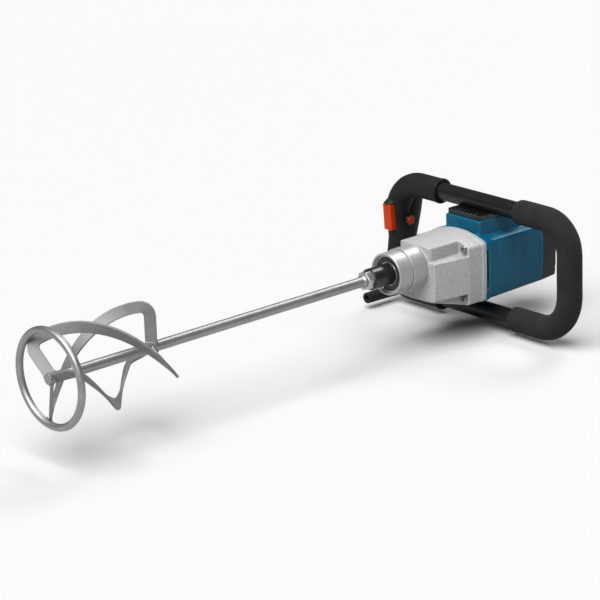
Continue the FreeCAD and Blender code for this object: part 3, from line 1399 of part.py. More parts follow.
switch_rest = box("SwitchRest", switch_x + size.switch_length,
                  size.grip_distance - size.switch_rest_width / 2,
                  size.switch_bottom + size.switch_rest_width, shell_reach, size.switch_rest_width,
                  size.switch_rest_height)
post_items.append(switch_rest)
handle_room = cut("HandleRoom", fuse("HandleRoomSolid", sleeve_bores + [grip_room]), post_items)

trigger_low_y = size.grip_distance - size.trigger_width / 2
shell_cuts = [
    box("TriggerSlot", handle_x - shell_reach, trigger_low_y - size.slide_clearance,
        size.trigger_bottom - size.slide_clearance, shell_reach,
        size.trigger_width + size.slide_clearance * 2,
        size.trigger_top - size.trigger_bottom + size.slide_clearance * 2),
    rod("BezelHole", size.lock_bezel_diameter / 2, size.lock_length * 2, lock_x,
        grip_inner + size.lock_bezel_depth - size.lock_length * 2, size.lock_level, ALONG_Y),
    rod("LockHole", size.lock_diameter / 2 + size.slide_clearance, size.lock_length * 2, lock_x,
        grip_inner - size.lock_length, size.lock_level, ALONG_Y),
    rod("CordHole", size.cord_sleeve_root / 2, shell_reach, handle_x - shell_reach,
        size.grip_distance, -cord_drop, ALONG_X)]
screw_face = handle_x + sleeve_radius / 2
for index, (y, z) in enumerate(shell_screw_places):
    shell_cuts.append(rod("ShellSink%d" % index, size.shell_screw_head / 2 + size.fit_clearance, shell_reach,
                          screw_face - size.shell_screw_head_length, y, z, ALONG_X))
    shell_cuts.append(rod("ShellHole%d" % index, size.shell_screw_shank / 2 + size.fit_clearance,
                          screw_face - handle_x, handle_x, y, z, ALONG_X))
drilled = cut("HandleDrilled", handle_outer, shell_cuts)
half_span = size.grip_distance * 2
for label, start in (("switch_handle_front", handle_x - shell_reach), ("switch_handle_rear", handle_x)):
    region = box("Region_" + label, start, ZERO, -half_span / 2, shell_reach, half_span, half_span)
    half = common("Half_" + label, drilled, region)
    export(cut("Shell_" + label, half, [handle_room]), label)

shell_screws = []
for index, (y, z) in enumerate(shell_screw_places):
    item = screw("ShellScrew%d" % index, size.shell_screw_head, size.shell_screw_head_length,
                 size.shell_screw_shank, size.shell_screw_length - size.shell_screw_head_length)
    shell_screws.append(put(item, screw_face, y, z, TURN_BACK))
export(group("ShellScrews", shell_screws), "handle_screws")

# Switch module behind the trigger

switch = box("Switch", switch_x, size.grip_distance - size.switch_width / 2, size.switch_bottom,
             size.switch_length, size.switch_width, size.switch_height)
export(switch, "switch_module")

# Trigger, sliding into the grip

trigger = new_body("Trigger")
trigger_side = new_sketch(trigger, "XZ_Plane", -(trigger_low_y + size.trigger_width))
lip_x = handle_x - size.trigger_lip_place
draw(trigger_side, [
    (handle_x - size.trigger_reach, size.trigger_top),
    (handle_x - size.trigger_waist_reach, size.trigger_waist_level),
    (handle_x - size.trigger_toe_reach, size.trigger_bottom), (lip_x, size.trigger_bottom),
    (lip_x, size.trigger_bottom - size.trigger_lip_height),
    (lip_x + size.trigger_lip, size.trigger_bottom - size.trigger_lip_height),
    (lip_x + size.trigger_lip, size.trigger_bottom), (handle_x - size.trigger_rear, size.trigger_bottom),
    (handle_x - size.trigger_rear, size.trigger_top), (lip_x + size.trigger_lip, size.trigger_top),
    (lip_x + size.trigger_lip, size.trigger_top + size.trigger_lip_height),
    (lip_x, size.trigger_top + size.trigger_lip_height), (lip_x, size.trigger_top)])
pad(trigger, trigger_side, size.trigger_width)
export(trigger, "trigger")

# Lock-on button and its bezel on the grip's inner side

lock_face = grip_inner - size.lock_reach
export(rod("LockButton", size.lock_diameter / 2, size.lock_length,
           lock_x, lock_face, size.lock_level, ALONG_Y),
       "lock_button")
bezel_face = grip_inner - size.lock_bezel_reach
bezel_disc = rod("BezelDisc", size.lock_bezel_diameter / 2, size.lock_bezel_reach + size.lock_bezel_depth,
                 lock_x, bezel_face, size.lock_level, ALONG_Y)
bezel_hole = rod("BezelBore", size.lock_diameter / 2 + size.slide_clearance, size.lock_length * 2, lock_x,
                 grip_inner - size.lock_length, size.lock_level, ALONG_Y)
export(cut("LockBezel", bezel_disc, [bezel_hole]), "lock_bezel")

# Cord sleeve at the handle's lower corner, with an empty bore

sleeve_tip = handle_x - size.cord_sleeve_reach
sleeve_root = handle_x - size.cord_sleeve_inset
cord = new_body("CordSleeve")
cord_profile = new_sketch(cord, "XZ_Plane")
flange_start = sleeve_root - size.cord_sleeve_flange_length
points = [(sleeve_tip, size.cord_sleeve_bore / 2), (sleeve_root, size.cord_sleeve_bore / 2),
          (sleeve_root, size.cord_sleeve_root / 2), (flange_start, size.cord_sleeve_root / 2),
          (sleeve_tip, size.cord_sleeve_tip / 2)]
draw(cord_profile, points)
revolve(cord, cord_profile)
for index in range(CORD_GROOVES):
    groove_x = sleeve_tip + size.cord_sleeve_groove_pitch * (index + 1)
    groove = new_sketch(cord, "XZ_Plane")
    draw(groove, tube_points(groove_x, groove_x + size.cord_sleeve_groove,
                             size.cord_sleeve_tip / 2 - size.cord_sleeve_groove, size.cord_sleeve_root))
    revolve(cord, groove, "PartDesign::Groove")
put(cord, ZERO, size.grip_distance, -cord_drop)
export(cord, "cord_sleeve")

# Paddle shaft with collar and threaded stud

shaft_front = -(size.paddle_reach + size.shaft_end)
collar_front = -(size.spindle_reach + size.collar_length)
paddle_shaft = turned("PaddleShaft", [
    (shaft_front, ZERO), (size.stud_length - size.spindle_reach, ZERO),
    (size.stud_length - size.spindle_reach, size.thread_diameter / 2),
    (-size.spindle_reach, size.thread_diameter / 2), (-size.spindle_reach, size.collar_diameter / 2),
    (collar_front + size.collar_cone, size.collar_diameter / 2), (collar_front, size.shaft_diameter / 2),
    (shaft_front, size.shaft_diameter / 2)])
export(paddle_shaft, "paddle_shaft")

# Paddle ring

ring_bar = size.ring_bar / 2
hoop = doc.addObject("Part::Torus", "PaddleRing")
bind(hoop, "Radius1", size.paddle_diameter / 2 - ring_bar)
bind(hoop, "Radius2", ring_bar)
put(hoop, -size.paddle_reach, ZERO, ZERO, ALONG_X)
export(hoop, "paddle_ring")


# Helical blades, each one flat bar with an arm at both ends

def blade_shape(start_angle):
    width = size.blade_width.value
    thick = size.blade_thickness.value
    middle = size.blade_radius.value - width / 2
    bend = size.blade_bend.value
    rear_x = -size.paddle_reach.value + size.blade_front_gap.value + size.blade_length.value
    twist = math.radians(BLADE_TWIST)
    run = math.hypot(size.blade_length.value, middle * twist)
    stations = [(0.0, size.blade_root.value, 0.0, 1.0), (0.0, middle - bend, 0.0, 1.0)]
    for step in range(1, BLADE_BEND_STEPS + 1):
        turn = math.pi / 2 * step / BLADE_BEND_STEPS
        stations.append((bend - bend * math.cos(turn), middle - bend + bend * math.sin(turn),
                         math.sin(turn), math.cos(turn)))
    for step in range(1, BLADE_HELIX_STEPS):
        along = bend + (run - 2 * bend) * step / BLADE_HELIX_STEPS
        stations.append((along, middle, 1.0, 0.0))
    for step in range(BLADE_BEND_STEPS + 1):
        turn = math.pi / 2 * step / BLADE_BEND_STEPS
        stations.append((run - bend + bend * math.sin(turn), middle - bend + bend * math.cos(turn),
                         math.cos(turn), -math.sin(turn)))
    stations.append((run, size.blade_root.value, 0.0, -1.0))
    wires = []
    for along, radius, go_along, go_out in stations:
        share = along / run
        angle = start_angle - twist * share
        out = Vector(0, -math.sin(angle), math.cos(angle))
        around = Vector(0, -math.cos(angle), -math.sin(angle))
        forward = Vector(-size.blade_length.value / run, 0, 0) - around * (middle * twist / run)
        face = out.cross(forward)
        across = forward * (-go_out) + out * go_along
        centre = Vector(rear_x - size.blade_length.value * share, 0, 0) + out * radius
        corners = [centre + across * (sx * width / 2) + face * (sy * thick / 2)
                   for sx, sy in ((1, 1), (-1, 1), (-1, -1), (1, -1))]
        wires.append(Part.makePolygon(corners + [corners[0]]))
    return Part.makeLoft(wires, True, True)


for index in range(BLADE_COUNT):
    blade = doc.addObject("Part::Feature", "Blade%d" % index)
    blade.Shape = blade_shape(math.radians(BLADE_REAR_ANGLE + 360.0 * index / BLADE_COUNT))
    blade.Placement = Placement()
    export(blade, "paddle_blade_%d" % (index + 1))

# Recompute, check every object and write the files

doc.recompute()
for item in doc.Objects:
    if "Invalid" in item.State or "Error" in item.State:
        raise RuntimeError("%s (%s): %s" % (item.Name, item.Label, item.State))
os.makedirs("parts", exist_ok=True)
for item in exported:
    shape = item.Shape
    if shape.isNull() or not shape.isValid():
        raise RuntimeError("bad shape: %s" % item.Label)
    shape.exportStep("parts/%s.step" % item.Label)
    print(item.Label, len(shape.Solids), round(shape.Volume), [round(v, 1) for v in (
        shape.BoundBox.XMin, shape.BoundBox.XMax, shape.BoundBox.YMin, shape.BoundBox.YMax,
        shape.BoundBox.ZMin, shape.BoundBox.ZMax)])
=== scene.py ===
import json
import math

import bpy
from mathutils import Matrix, Vector


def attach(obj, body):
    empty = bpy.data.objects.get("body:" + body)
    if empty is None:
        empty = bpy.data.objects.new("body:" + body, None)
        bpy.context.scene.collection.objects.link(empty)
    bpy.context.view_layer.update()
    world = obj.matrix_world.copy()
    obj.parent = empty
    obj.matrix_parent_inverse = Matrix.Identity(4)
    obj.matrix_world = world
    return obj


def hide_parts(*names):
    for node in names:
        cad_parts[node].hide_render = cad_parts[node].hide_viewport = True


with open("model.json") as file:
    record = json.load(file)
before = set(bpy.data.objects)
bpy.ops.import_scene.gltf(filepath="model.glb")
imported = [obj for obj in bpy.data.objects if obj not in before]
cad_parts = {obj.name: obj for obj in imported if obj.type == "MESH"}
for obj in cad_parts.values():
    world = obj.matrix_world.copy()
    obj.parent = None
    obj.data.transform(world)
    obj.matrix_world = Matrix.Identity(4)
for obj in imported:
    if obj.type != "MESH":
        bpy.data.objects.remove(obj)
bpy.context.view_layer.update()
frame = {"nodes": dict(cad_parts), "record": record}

# Gearbox casting
# The gearbox is an aluminium pressure casting with a clamping neck, a flared body and four screw pockets.
# Its edges keep the small radius of the mould, the roof's front corners are rounder, and the neck is
# machined after casting.

MERGE_REACH = 0.00001
CASTING_VOXEL = 0.0008
CASTING_SMOOTHING = 5
CASTING_KEEP = 0.34
CASTING_COLOUR = (0.36, 0.36, 0.357, 1.0)
CASTING_SHADE = (0.235, 0.235, 0.235, 1.0)
CASTING_BLOTCHES = (260.0, 260.0, 420.0)
CASTING_GLOSS = 0.2
CASTING_ROUGH = 0.66
BLOTCH_SHARE = 0.55
COARSE_SCALE_SHARE = 0.35
FINE_SHARE = 0.6
EDGE_BREAKUP_SCALE = 160.0
NECK_CUT = 0.0528
NECK_CORE = 0.0287
NOSE_FRONT = 0.054
ROOF_HALF_WIDTH = 0.031
ROOF_FOOT = 0.0113
ROOF_TOP = 0.042
ROOF_CORNER = 0.009
STAGE_CLEAR = 0.0326
TRIM_OVERRUN = 0.002


def only(piece):
    """Selects one piece alone and makes it active."""
    bpy.ops.object.select_all(action="DESELECT")
    piece.select_set(True)
    bpy.context.view_layer.objects.active = piece


def apply_modifier(piece, kind, **values):
    """Adds a modifier, sets its values and applies it."""
    only(piece)
    modifier = piece.modifiers.new(kind.title(), kind)
    for key, value in values.items():
        setattr(modifier, key, value)
    bpy.ops.object.modifier_apply(modifier=modifier.name)


def soften(piece, voxel, smoothing, keep):
    """Gives a rigid piece the small edge radius of a cast, moulded or rolled part."""
    apply_modifier(piece, "REMESH", mode="VOXEL", voxel_size=voxel)
    apply_modifier(piece, "SMOOTH", factor=0.5, iterations=smoothing)
    apply_modifier(piece, "DECIMATE", ratio=keep)
    only(piece)
    bpy.ops.object.shade_smooth()
    apply_modifier(piece, "WEIGHTED_NORMAL", weight=60)


def merged_copy(node, name):
    """A separate piece with the shape of a CAD node, its loose triangles merged."""
    piece = bpy.data.objects.new(name, frame["nodes"][node].data.copy())
    bpy.context.scene.collection.objects.link(piece)
    piece.data.materials.clear()
    only(piece)
    bpy.ops.object.mode_set(mode="EDIT")
    bpy.ops.mesh.select_all(action="SELECT")
    bpy.ops.mesh.remove_doubles(threshold=MERGE_REACH)
    bpy.ops.object.mode_set(mode="OBJECT")
    return piece


def place(piece, body, slot, *nodes):
    """Joins a finished piece to its body and hides the nodes it stands for; its slot is not used."""
    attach(piece, body)
    if nodes:
        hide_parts(*nodes)


def add(tree, kind, **values):
    """A shader node with its named input values set."""
    node = tree.nodes.new(kind)
    for key, value in values.items():
        node.inputs[key.replace("_", " ")].default_value = value
    return node


def math_node(tree, operation, first, second):
    """A Math node whose inputs are numbers or other nodes' outputs."""
    node = tree.nodes.new("ShaderNodeMath")
    node.operation = operation
    for socket, value in zip(node.inputs, (first, second)):
        if isinstance(value, (int, float)):
            socket.default_value = value
        else:
            tree.links.new(value, socket)
    return node.outputs[0]


def mix_colour(tree, share, first, second):
    """A colour between two others, each a colour or an output, by the share that an output gives."""
    node = tree.nodes.new("ShaderNodeMix")
    node.data_type = "RGBA"
    sockets = [s for s in node.inputs if s.type == "RGBA"]
    tree.links.new(share, node.inputs["Factor"])
    for socket, value in zip(sockets, (first, second)):
        if isinstance(value, tuple):
            socket.default_value = value
        else:
            tree.links.new(value, socket)
    return [s for s in node.outputs if s.type == "RGBA"][0]


def new_group(name, inputs, outputs):
    """An empty shader node group with float sockets."""
    group = bpy.data.node_groups.new(name, "ShaderNodeTree")
    for label, value in inputs:
        socket = group.interface.new_socket(label, in_out="INPUT", socket_type="NodeSocketFloat")
        socket.default_value = value
    for label in outputs:
        group.interface.new_socket(label, in_out="OUTPUT", socket_type="NodeSocketFloat")
    return group, group.nodes.new("NodeGroupInput"), group.nodes.new("NodeGroupOutput")


def noise(tree, vector, scale, detail):
    """A noise value on a vector, with a fixed or linked scale."""
    node = add(tree, "ShaderNodeTexNoise", Detail=detail)
    tree.links.new(vector, node.inputs["Vector"])
    if isinstance(scale, (int, float)):
        node.inputs["Scale"].default_value = scale
    else:
        tree.links.new(scale, node.inputs["Scale"])
    return node.outputs[0]


grain_group, grain_in, grain_out = new_group("surface_grain", [("Scale", 900.0), ("Patch Scale", 30.0)],
                                             ["Height", "Patches"])
grain_place = grain_group.nodes.new("ShaderNodeTexCoord").outputs["Object"]
fine = noise(grain_group, grain_place, grain_in.outputs["Scale"], 3.0)
coarse_scale = math_node(grain_group, "MULTIPLY", grain_in.outputs["Scale"], COARSE_SCALE_SHARE)
coarse = noise(grain_group, grain_place, coarse_scale, 2.0)
fine_part = math_node(grain_group, "MULTIPLY", fine, FINE_SHARE)
coarse_part = math_node(grain_group, "MULTIPLY", coarse, 1.0 - FINE_SHARE)
grain_height = math_node(grain_group, "ADD", fine_part, coarse_part)
grain_group.links.new(grain_height, grain_out.inputs["Height"])
patches = noise(grain_group, grain_place, grain_in.outputs["Patch Scale"], 4.0)
grain_group.links.new(patches, grain_out.inputs["Patches"])

# This edge group picks out sharp convex edges. On most parts they are rubbed, and on the blue shell it paints
# a highlight along them.
rub_and_highlight_group, edge_in, edge_out = new_group("rubbed_and_highlit_edges", [("Start", 0.52), ("Width", 0.06)], ["Mask"])
edge = rub_and_highlight_group.nodes.new("ShaderNodeNewGeometry").outputs["Pointiness"]
over = math_node(rub_and_highlight_group, "SUBTRACT", edge, edge_in.outputs["Start"])
share = math_node(rub_and_highlight_group, "DIVIDE", over, edge_in.outputs["Width"])
share = math_node(rub_and_highlight_group, "MAXIMUM", share, 0.0)
share = math_node(rub_and_highlight_group, "MINIMUM", share, 1.0)
edge_place = rub_and_highlight_group.nodes.new("ShaderNodeTexCoord").outputs["Object"]
edge_breakup = noise(rub_and_highlight_group, edge_place, EDGE_BREAKUP_SCALE, 4.0)
edge_amount = math_node(rub_and_highlight_group, "MULTIPLY", share, edge_breakup)
rub_and_highlight_group.links.new(edge_amount, edge_out.inputs["Mask"])


def finish(name, grain_scale, patch_scale, grain_depth, grain_distance):
    """A material with grain bump, and the group outputs for its colours."""
    material = bpy.data.materials.new(name)
    material.use_nodes = True
    tree = material.node_tree
    shader = tree.nodes["Principled BSDF"]
    grain = tree.nodes.new("ShaderNodeGroup")
    grain.node_tree = grain_group
    grain.inputs["Scale"].default_value = grain_scale
    grain.inputs["Patch Scale"].default_value = patch_scale
    bump = add(tree, "ShaderNodeBump", Strength=grain_depth, Distance=grain_distance)
    tree.links.new(grain.outputs["Height"], bump.inputs["Height"])
    tree.links.new(bump.outputs["Normal"], shader.inputs["Normal"])
    return material, tree, shader, grain


def rub_and_highlight_mask(tree, start, width):
    """The mask of the sharp convex edges: rubbed on most parts, and a painted edge highlight on the blue
    shell.
    """
    edge_node = tree.nodes.new("ShaderNodeGroup")
    edge_node.node_tree = rub_and_highlight_group
    edge_node.inputs["Start"].default_value = start
    edge_node.inputs["Width"].default_value = width
    return edge_node.outputs["Mask"]


def show_rub_and_highlight(tree, shader, colour, rub_and_highlight_colour, start, width):
    """Lets a lighter colour show on the edges: rubbed edges, and on the blue shell a painted edge highlight.
    """
    mask = rub_and_highlight_mask(tree, start, width)
    tree.links.new(mix_colour(tree, mask, colour, rub_and_highlight_colour), shader.inputs["Base Color"])


def two_tone(tree, shader, grain, dark, light, rough_low, rough_high):
    """Lets the colour and the gloss drift with the grain's patches."""
    colour = mix_colour(tree, grain.outputs["Patches"], dark, light)
    tree.links.new(colour, shader.inputs["Base Color"])
    spread = math_node(tree, "MULTIPLY", grain.outputs["Patches"], rough_high - rough_low)
    tree.links.new(math_node(tree, "ADD", spread, rough_low), shader.inputs["Roughness"])
    return colour


def streaks(tree, stretch):
    """A slow blotch pattern from 0 to 1 that is longer along one axis."""
    spread = tree.nodes.new("ShaderNodeMapping")
    spread.inputs["Scale"].default_value = stretch
    tree.links.new(tree.nodes.new("ShaderNodeTexCoord").outputs["Object"], spread.inputs["Vector"])
    blotch = noise(tree, spread.outputs["Vector"], 1.0, 6.0)
    ramp = add(tree, "ShaderNodeMapRange", From_Min=0.3, From_Max=0.7)
    tree.links.new(blotch, ramp.inputs["Value"])
    return ramp.outputs["Result"]


casting_finish, tree, shader, grain = finish(
    "cast_aluminium", grain_scale=1300.0, patch_scale=160.0, grain_depth=0.3, grain_distance=0.0006)
shader.inputs["Metallic"].default_value = 0.15
shader.inputs["Specular IOR Level"].default_value = 0.3
flow = streaks(tree, CASTING_BLOTCHES)
flow_part = math_node(tree, "MULTIPLY", flow, BLOTCH_SHARE)
patch_part = math_node(tree, "MULTIPLY", grain.outputs["Patches"], 1.0 - BLOTCH_SHARE)
mottle = math_node(tree, "ADD", flow_part, patch_part)
tree.links.new(mix_colour(tree, mottle, CASTING_SHADE, CASTING_COLOUR), shader.inputs["Base Color"])
gloss = math_node(tree, "MULTIPLY", flow, CASTING_GLOSS)
tree.links.new(math_node(tree, "SUBTRACT", CASTING_ROUGH, gloss), shader.inputs["Roughness"])


def cut_away(piece, cutter):
    """Cuts one piece by another, which is then removed."""
    apply_modifier(piece, "BOOLEAN", object=cutter, operation="DIFFERENCE", solver="EXACT")
    bpy.data.objects.remove(cutter)


def block(low, high):
    """A box between two corners."""
    bpy.ops.object.select_all(action="DESELECT")
    bpy.ops.mesh.primitive_cube_add(size=1.0, location=(0, 0, 0))
    piece = bpy.context.object
    for vertex in piece.data.vertices:
        vertex.co = [start if side < 0 else end for side, start, end in zip(vertex.co, low, high)]
    return piece


def round_bar(radius, depth, middle, turn):
    """A round bar about a point, upright or turned."""
    bpy.ops.object.select_all(action="DESELECT")
    bpy.ops.mesh.primitive_cylinder_add(vertices=96, radius=radius, depth=depth, location=middle,
                                        rotation=turn)
    return bpy.context.object


casting = merged_copy("gearbox_housing", "gearbox_casting")
for side in (1, -1):
    inner = side * (ROOF_HALF_WIDTH - ROOF_CORNER)
    outer = side * (ROOF_HALF_WIDTH + TRIM_OVERRUN)
    trim = block((NOSE_FRONT - TRIM_OVERRUN, min(inner, outer), ROOF_FOOT),
                 (NOSE_FRONT + ROOF_CORNER, max(inner, outer), ROOF_TOP))
    corner = (NOSE_FRONT + ROOF_CORNER, inner, ROOF_TOP)
    cut_away(trim, round_bar(ROOF_CORNER, 2 * ROOF_TOP, corner, (0, 0, 0)))
    cut_away(trim, round_bar(STAGE_CLEAR, NOSE_FRONT, (NOSE_FRONT, 0, 0), (0, math.pi / 2, 0)))
    cut_away(casting, trim)
soften(casting, CASTING_VOXEL, CASTING_SMOOTHING, CASTING_KEEP)
for vertex in casting.data.vertices:
    radius = math.hypot(vertex.co.y, vertex.co.z)
    if vertex.co.x < NECK_CUT and radius > NECK_CORE:
        vertex.co.y *= NECK_CORE / radius
        vertex.co.z *= NECK_CORE / radius
casting.data.materials.append(casting_finish)
place(casting, "machine", "cast_aluminium", "gearbox_housing")

# Turned neck
# The clamping neck and the stage behind it are turned on the casting after it leaves the mould.
# A narrow groove ends the cut, and the mouth takes the seal and its retaining ring.

NECK_SKIN = 0.00006
NECK_OUTLINE = ((0.0022, 0.0275), (0.0, 0.0275), (-0.00005, 0.0278), (-0.00005, 0.0296), (0.0007, 0.0303),
                (0.0238, 0.0303), (0.0241, 0.0300), (0.0241, 0.0293), (0.0253, 0.0293), (0.0253, 0.0315),
                (0.0256, 0.0318), (0.0540, 0.0318), (0.0540, 0.0300), (0.0260, 0.0285), (0.0022, 0.0285))
NECK_STEPS = 128
TURNED_SHADE = (0.22, 0.22, 0.22, 1.0)
TURNED_COLOUR = (0.36, 0.36, 0.357, 1.0)
TURNING_MARKS = (1800.0, 12.0, 12.0)
TURNED_ROUGH = 0.34
MARK_ROUGH = 0.14


def turned_piece(name, outline, steps, skin):
    """A closed ring spun round the spindle's axis from an outline of places along it and radii."""
    bpy.ops.object.select_all(action="DESELECT")
    bpy.ops.mesh.primitive_circle_add(vertices=len(outline), radius=0.01, location=(0, 0, 0))
    piece = bpy.context.object
    piece.name = name
    for vertex, (along, radius) in zip(piece.data.vertices, outline):
        vertex.co = (along, 0.0, radius + skin)
    bpy.ops.object.mode_set(mode="EDIT")
    bpy.ops.mesh.select_all(action="SELECT")
    bpy.ops.mesh.spin(steps=steps, angle=2 * math.pi, center=(0, 0, 0), axis=(1, 0, 0))
    bpy.ops.mesh.select_all(action="SELECT")
    bpy.ops.mesh.remove_doubles(threshold=MERGE_REACH)
    bpy.ops.mesh.normals_make_consistent(inside=False)
    bpy.ops.object.mode_set(mode="OBJECT")
    only(piece)
    bpy.ops.object.shade_smooth_by_angle(angle=math.radians(25))
    return piece


turned_finish, tree, shader, grain = finish(
    "turned_aluminium", grain_scale=1600.0, patch_scale=60.0, grain_depth=0.06, grain_distance=0.0002)
shader.inputs["Metallic"].default_value = 0.5
lines = streaks(tree, TURNING_MARKS)
marks = math_node(tree, "MULTIPLY", lines, grain.outputs["Patches"])
tree.links.new(mix_colour(tree, marks, TURNED_COLOUR, TURNED_SHADE), shader.inputs["Base Color"])
mark_rough = math_node(tree, "MULTIPLY", lines, MARK_ROUGH)
tree.links.new(math_node(tree, "ADD", TURNED_ROUGH, mark_rough), shader.inputs["Roughness"])

neck = turned_piece("turned_neck", NECK_OUTLINE, NECK_STEPS, NECK_SKIN)
neck.data.materials.append(turned_finish)
place(neck, "machine", "cast_aluminium")

# Motor shell
# The motor shell is a blue moulded nylon tube with a square section, an arched top and a pedestal for the
# frame. A shallow panel is moulded into each side.

SHELL_VOXEL = 0.00095
SHELL_SMOOTHING = 3
SHELL_KEEP = 0.36
PANEL_CENTRE = (0.2385, 0.0494, -0.0135)
PANEL_SPAN = (0.048, 0.0026, 0.052)
PANEL_TURN = math.radians(2.15)
PANEL_EDGE = 0.0012
BLUE_DARK = (0.0012, 0.052, 0.098, 1.0)
BLUE_LIGHT = (0.0018, 0.070, 0.130, 1.0)
# The lighter blue for the shell's sharp edges is partly rubbed edges and partly a painted edge highlight.
BLUE_RUB_AND_HIGHLIGHT = (0.012, 0.13, 0.21, 1.0)

shell_finish, tree, shader, grain = finish(
    "blue_plastic", grain_scale=2400.0, patch_scale=22.0, grain_depth=0.06, grain_distance=0.0003)
colour = two_tone(tree, shader, grain, BLUE_DARK, BLUE_LIGHT, rough_low=0.2, rough_high=0.28)
# Painted highlight: the lighter blue on the shell's sharp edges stands in for light catching them, with some
# rubbing.
show_rub_and_highlight(tree, shader, colour, BLUE_RUB_AND_HIGHLIGHT, start=0.515, width=0.04)
shader.inputs["Specular IOR Level"].default_value = 0.1

shell = merged_copy("motor_housing", "motor_shell")
for side in (1, -1):
    bpy.ops.object.select_all(action="DESELECT")
    bpy.ops.mesh.primitive_cube_add(size=1.0, location=(0, 0, 0))
    panel = bpy.context.object
    bpy.ops.transform.resize(value=PANEL_SPAN)
    bpy.ops.object.transform_apply(location=False, rotation=False, scale=True)
    apply_modifier(panel, "BEVEL", width=PANEL_EDGE, segments=3)
    panel.rotation_euler = (0, 0, -side * PANEL_TURN)
    panel.location = (PANEL_CENTRE[0], side * PANEL_CENTRE[1], PANEL_CENTRE[2])
    cut_away(shell, panel)
soften(shell, SHELL_VOXEL, SHELL_SMOOTHING, SHELL_KEEP)
shell.data.materials.append(shell_finish)
place(shell, "machine", "blue_plastic", "motor_housing")

# Rear cap and saddles
# These are black glass-filled nylon mouldings. The cap closes the motor shell, and the saddles carry the
# frame's tube: a glossy ribbed block on the pedestal, and a plain one below the shell.

BLACK_DARK = (0.0045, 0.0045, 0.0048, 1.0)
BLACK_LIGHT = (0.010, 0.010, 0.0105, 1.0)
BLACK_WORN = (0.055, 0.055, 0.057, 1.0)
GLOSS_DARK = (0.0022, 0.0022, 0.0024, 1.0)
GLOSS_LIGHT = (0.0040, 0.0040, 0.0042, 1.0)

black_finish, tree, shader, grain = finish(
    "black_plastic", grain_scale=1500.0, patch_scale=40.0, grain_depth=0.22, grain_distance=0.0004)
colour = two_tone(tree, shader, grain, BLACK_DARK, BLACK_LIGHT, rough_low=0.38, rough_high=0.52)
show_rub_and_highlight(tree, shader, colour, BLACK_WORN, start=0.53, width=0.06)
shader.inputs["Specular IOR Level"].default_value = 0.15

gloss_finish, tree, shader, grain = finish(
    "saddle_plastic", grain_scale=1500.0, patch_scale=40.0, grain_depth=0.08, grain_distance=0.0002)
colour = two_tone(tree, shader, grain, GLOSS_DARK, GLOSS_LIGHT, rough_low=0.2, rough_high=0.28)
show_rub_and_highlight(tree, shader, colour, BLACK_WORN, start=0.53, width=0.06)
shader.inputs["Specular IOR Level"].default_value = 0.35

for node, name, voxel, material in (("rear_cap", "rear_cap_moulding", 0.0008, black_finish),
                                    ("upper_saddle", "upper_saddle_moulding", 0.0005, gloss_finish),
                                    ("lower_saddle", "lower_saddle_moulding", 0.0005, black_finish)):
    moulding = merged_copy(node, name)
    soften(moulding, voxel, smoothing=2, keep=0.3)
    moulding.data.materials.append(material)
    place(moulding, "machine", "black_plastic", node)

# Frame tube
# The frame is one steel tube, bent round the motor and powder coated in satin black.
# It follows the same run as the solid: two straight arms and two bends on the foam side.

HANDLE_X = 0.190
TUBE_TOP = 0.0653
TUBE_LOW = -0.097
FRAME_SIDE = -0.1735
UPPER_BEND = 0.044
LOWER_BEND = 0.056
TUBE_RADIUS = 0.0132
TUBE_END = 0.112
TUBE_EDGE = 0.0008
ARC_SHARE = 0.5523
TUBE_DARK = (0.0040, 0.0040, 0.0042, 1.0)
TUBE_LIGHT = (0.0075, 0.0075, 0.0078, 1.0)
TUBE_WORN = (0.055, 0.055, 0.056, 1.0)


def loop_tube(name, upper_start, lower_start, tube_radius):
    """A round bar along the frame's run, from one place on the upper arm to one on the lower."""
    bpy.ops.object.select_all(action="DESELECT")
    bpy.ops.curve.primitive_bezier_curve_add(location=(0, 0, 0))
    curve = bpy.context.object
    curve.name = name
    spline = curve.data.splines[0]
    spline.bezier_points.add(4)
    inner_upper = FRAME_SIDE + UPPER_BEND
    inner_lower = FRAME_SIDE + LOWER_BEND
    corners = [((upper_start, TUBE_TOP), (0, 0), (0, 0)),
               ((inner_upper, TUBE_TOP), (0, 0), (-UPPER_BEND, 0)),
               ((FRAME_SIDE, TUBE_TOP - UPPER_BEND), (0, UPPER_BEND), (0, 0)),
               ((FRAME_SIDE, TUBE_LOW + LOWER_BEND), (0, 0), (0, -LOWER_BEND)),
               ((inner_lower, TUBE_LOW), (-LOWER_BEND, 0), (0, 0)),
               ((lower_start, TUBE_LOW), (0, 0), (0, 0))]
    for point, (spot, before, after) in zip(spline.bezier_points, corners):
        point.handle_left_type = "FREE"
        point.handle_right_type = "FREE"
        point.co = (HANDLE_X, spot[0], spot[1])
        point.handle_left = (HANDLE_X, spot[0] + before[0] * ARC_SHARE, spot[1] + before[1] * ARC_SHARE)
        point.handle_right = (HANDLE_X, spot[0] + after[0] * ARC_SHARE, spot[1] + after[1] * ARC_SHARE)
    curve.data.dimensions = "3D"
    curve.data.resolution_u = 24
    curve.data.bevel_depth = tube_radius
    curve.data.bevel_resolution = 10
    curve.data.use_fill_caps = True
    only(curve)
    bpy.ops.object.convert(target="MESH")
    bpy.ops.object.mode_set(mode="EDIT")
    bpy.ops.mesh.select_all(action="SELECT")
    bpy.ops.mesh.remove_doubles(threshold=MERGE_REACH)
    bpy.ops.mesh.normals_make_consistent(inside=False)
    bpy.ops.object.mode_set(mode="OBJECT")
    return bpy.context.object


tube_finish, tree, shader, grain = finish(
    "tube_paint", grain_scale=1800.0, patch_scale=30.0, grain_depth=0.1, grain_distance=0.0003)
colour = two_tone(tree, shader, grain, TUBE_DARK, TUBE_LIGHT, rough_low=0.3, rough_high=0.42)
show_rub_and_highlight(tree, shader, colour, TUBE_WORN, start=0.54, width=0.05)
shader.inputs["Specular IOR Level"].default_value = 0.3

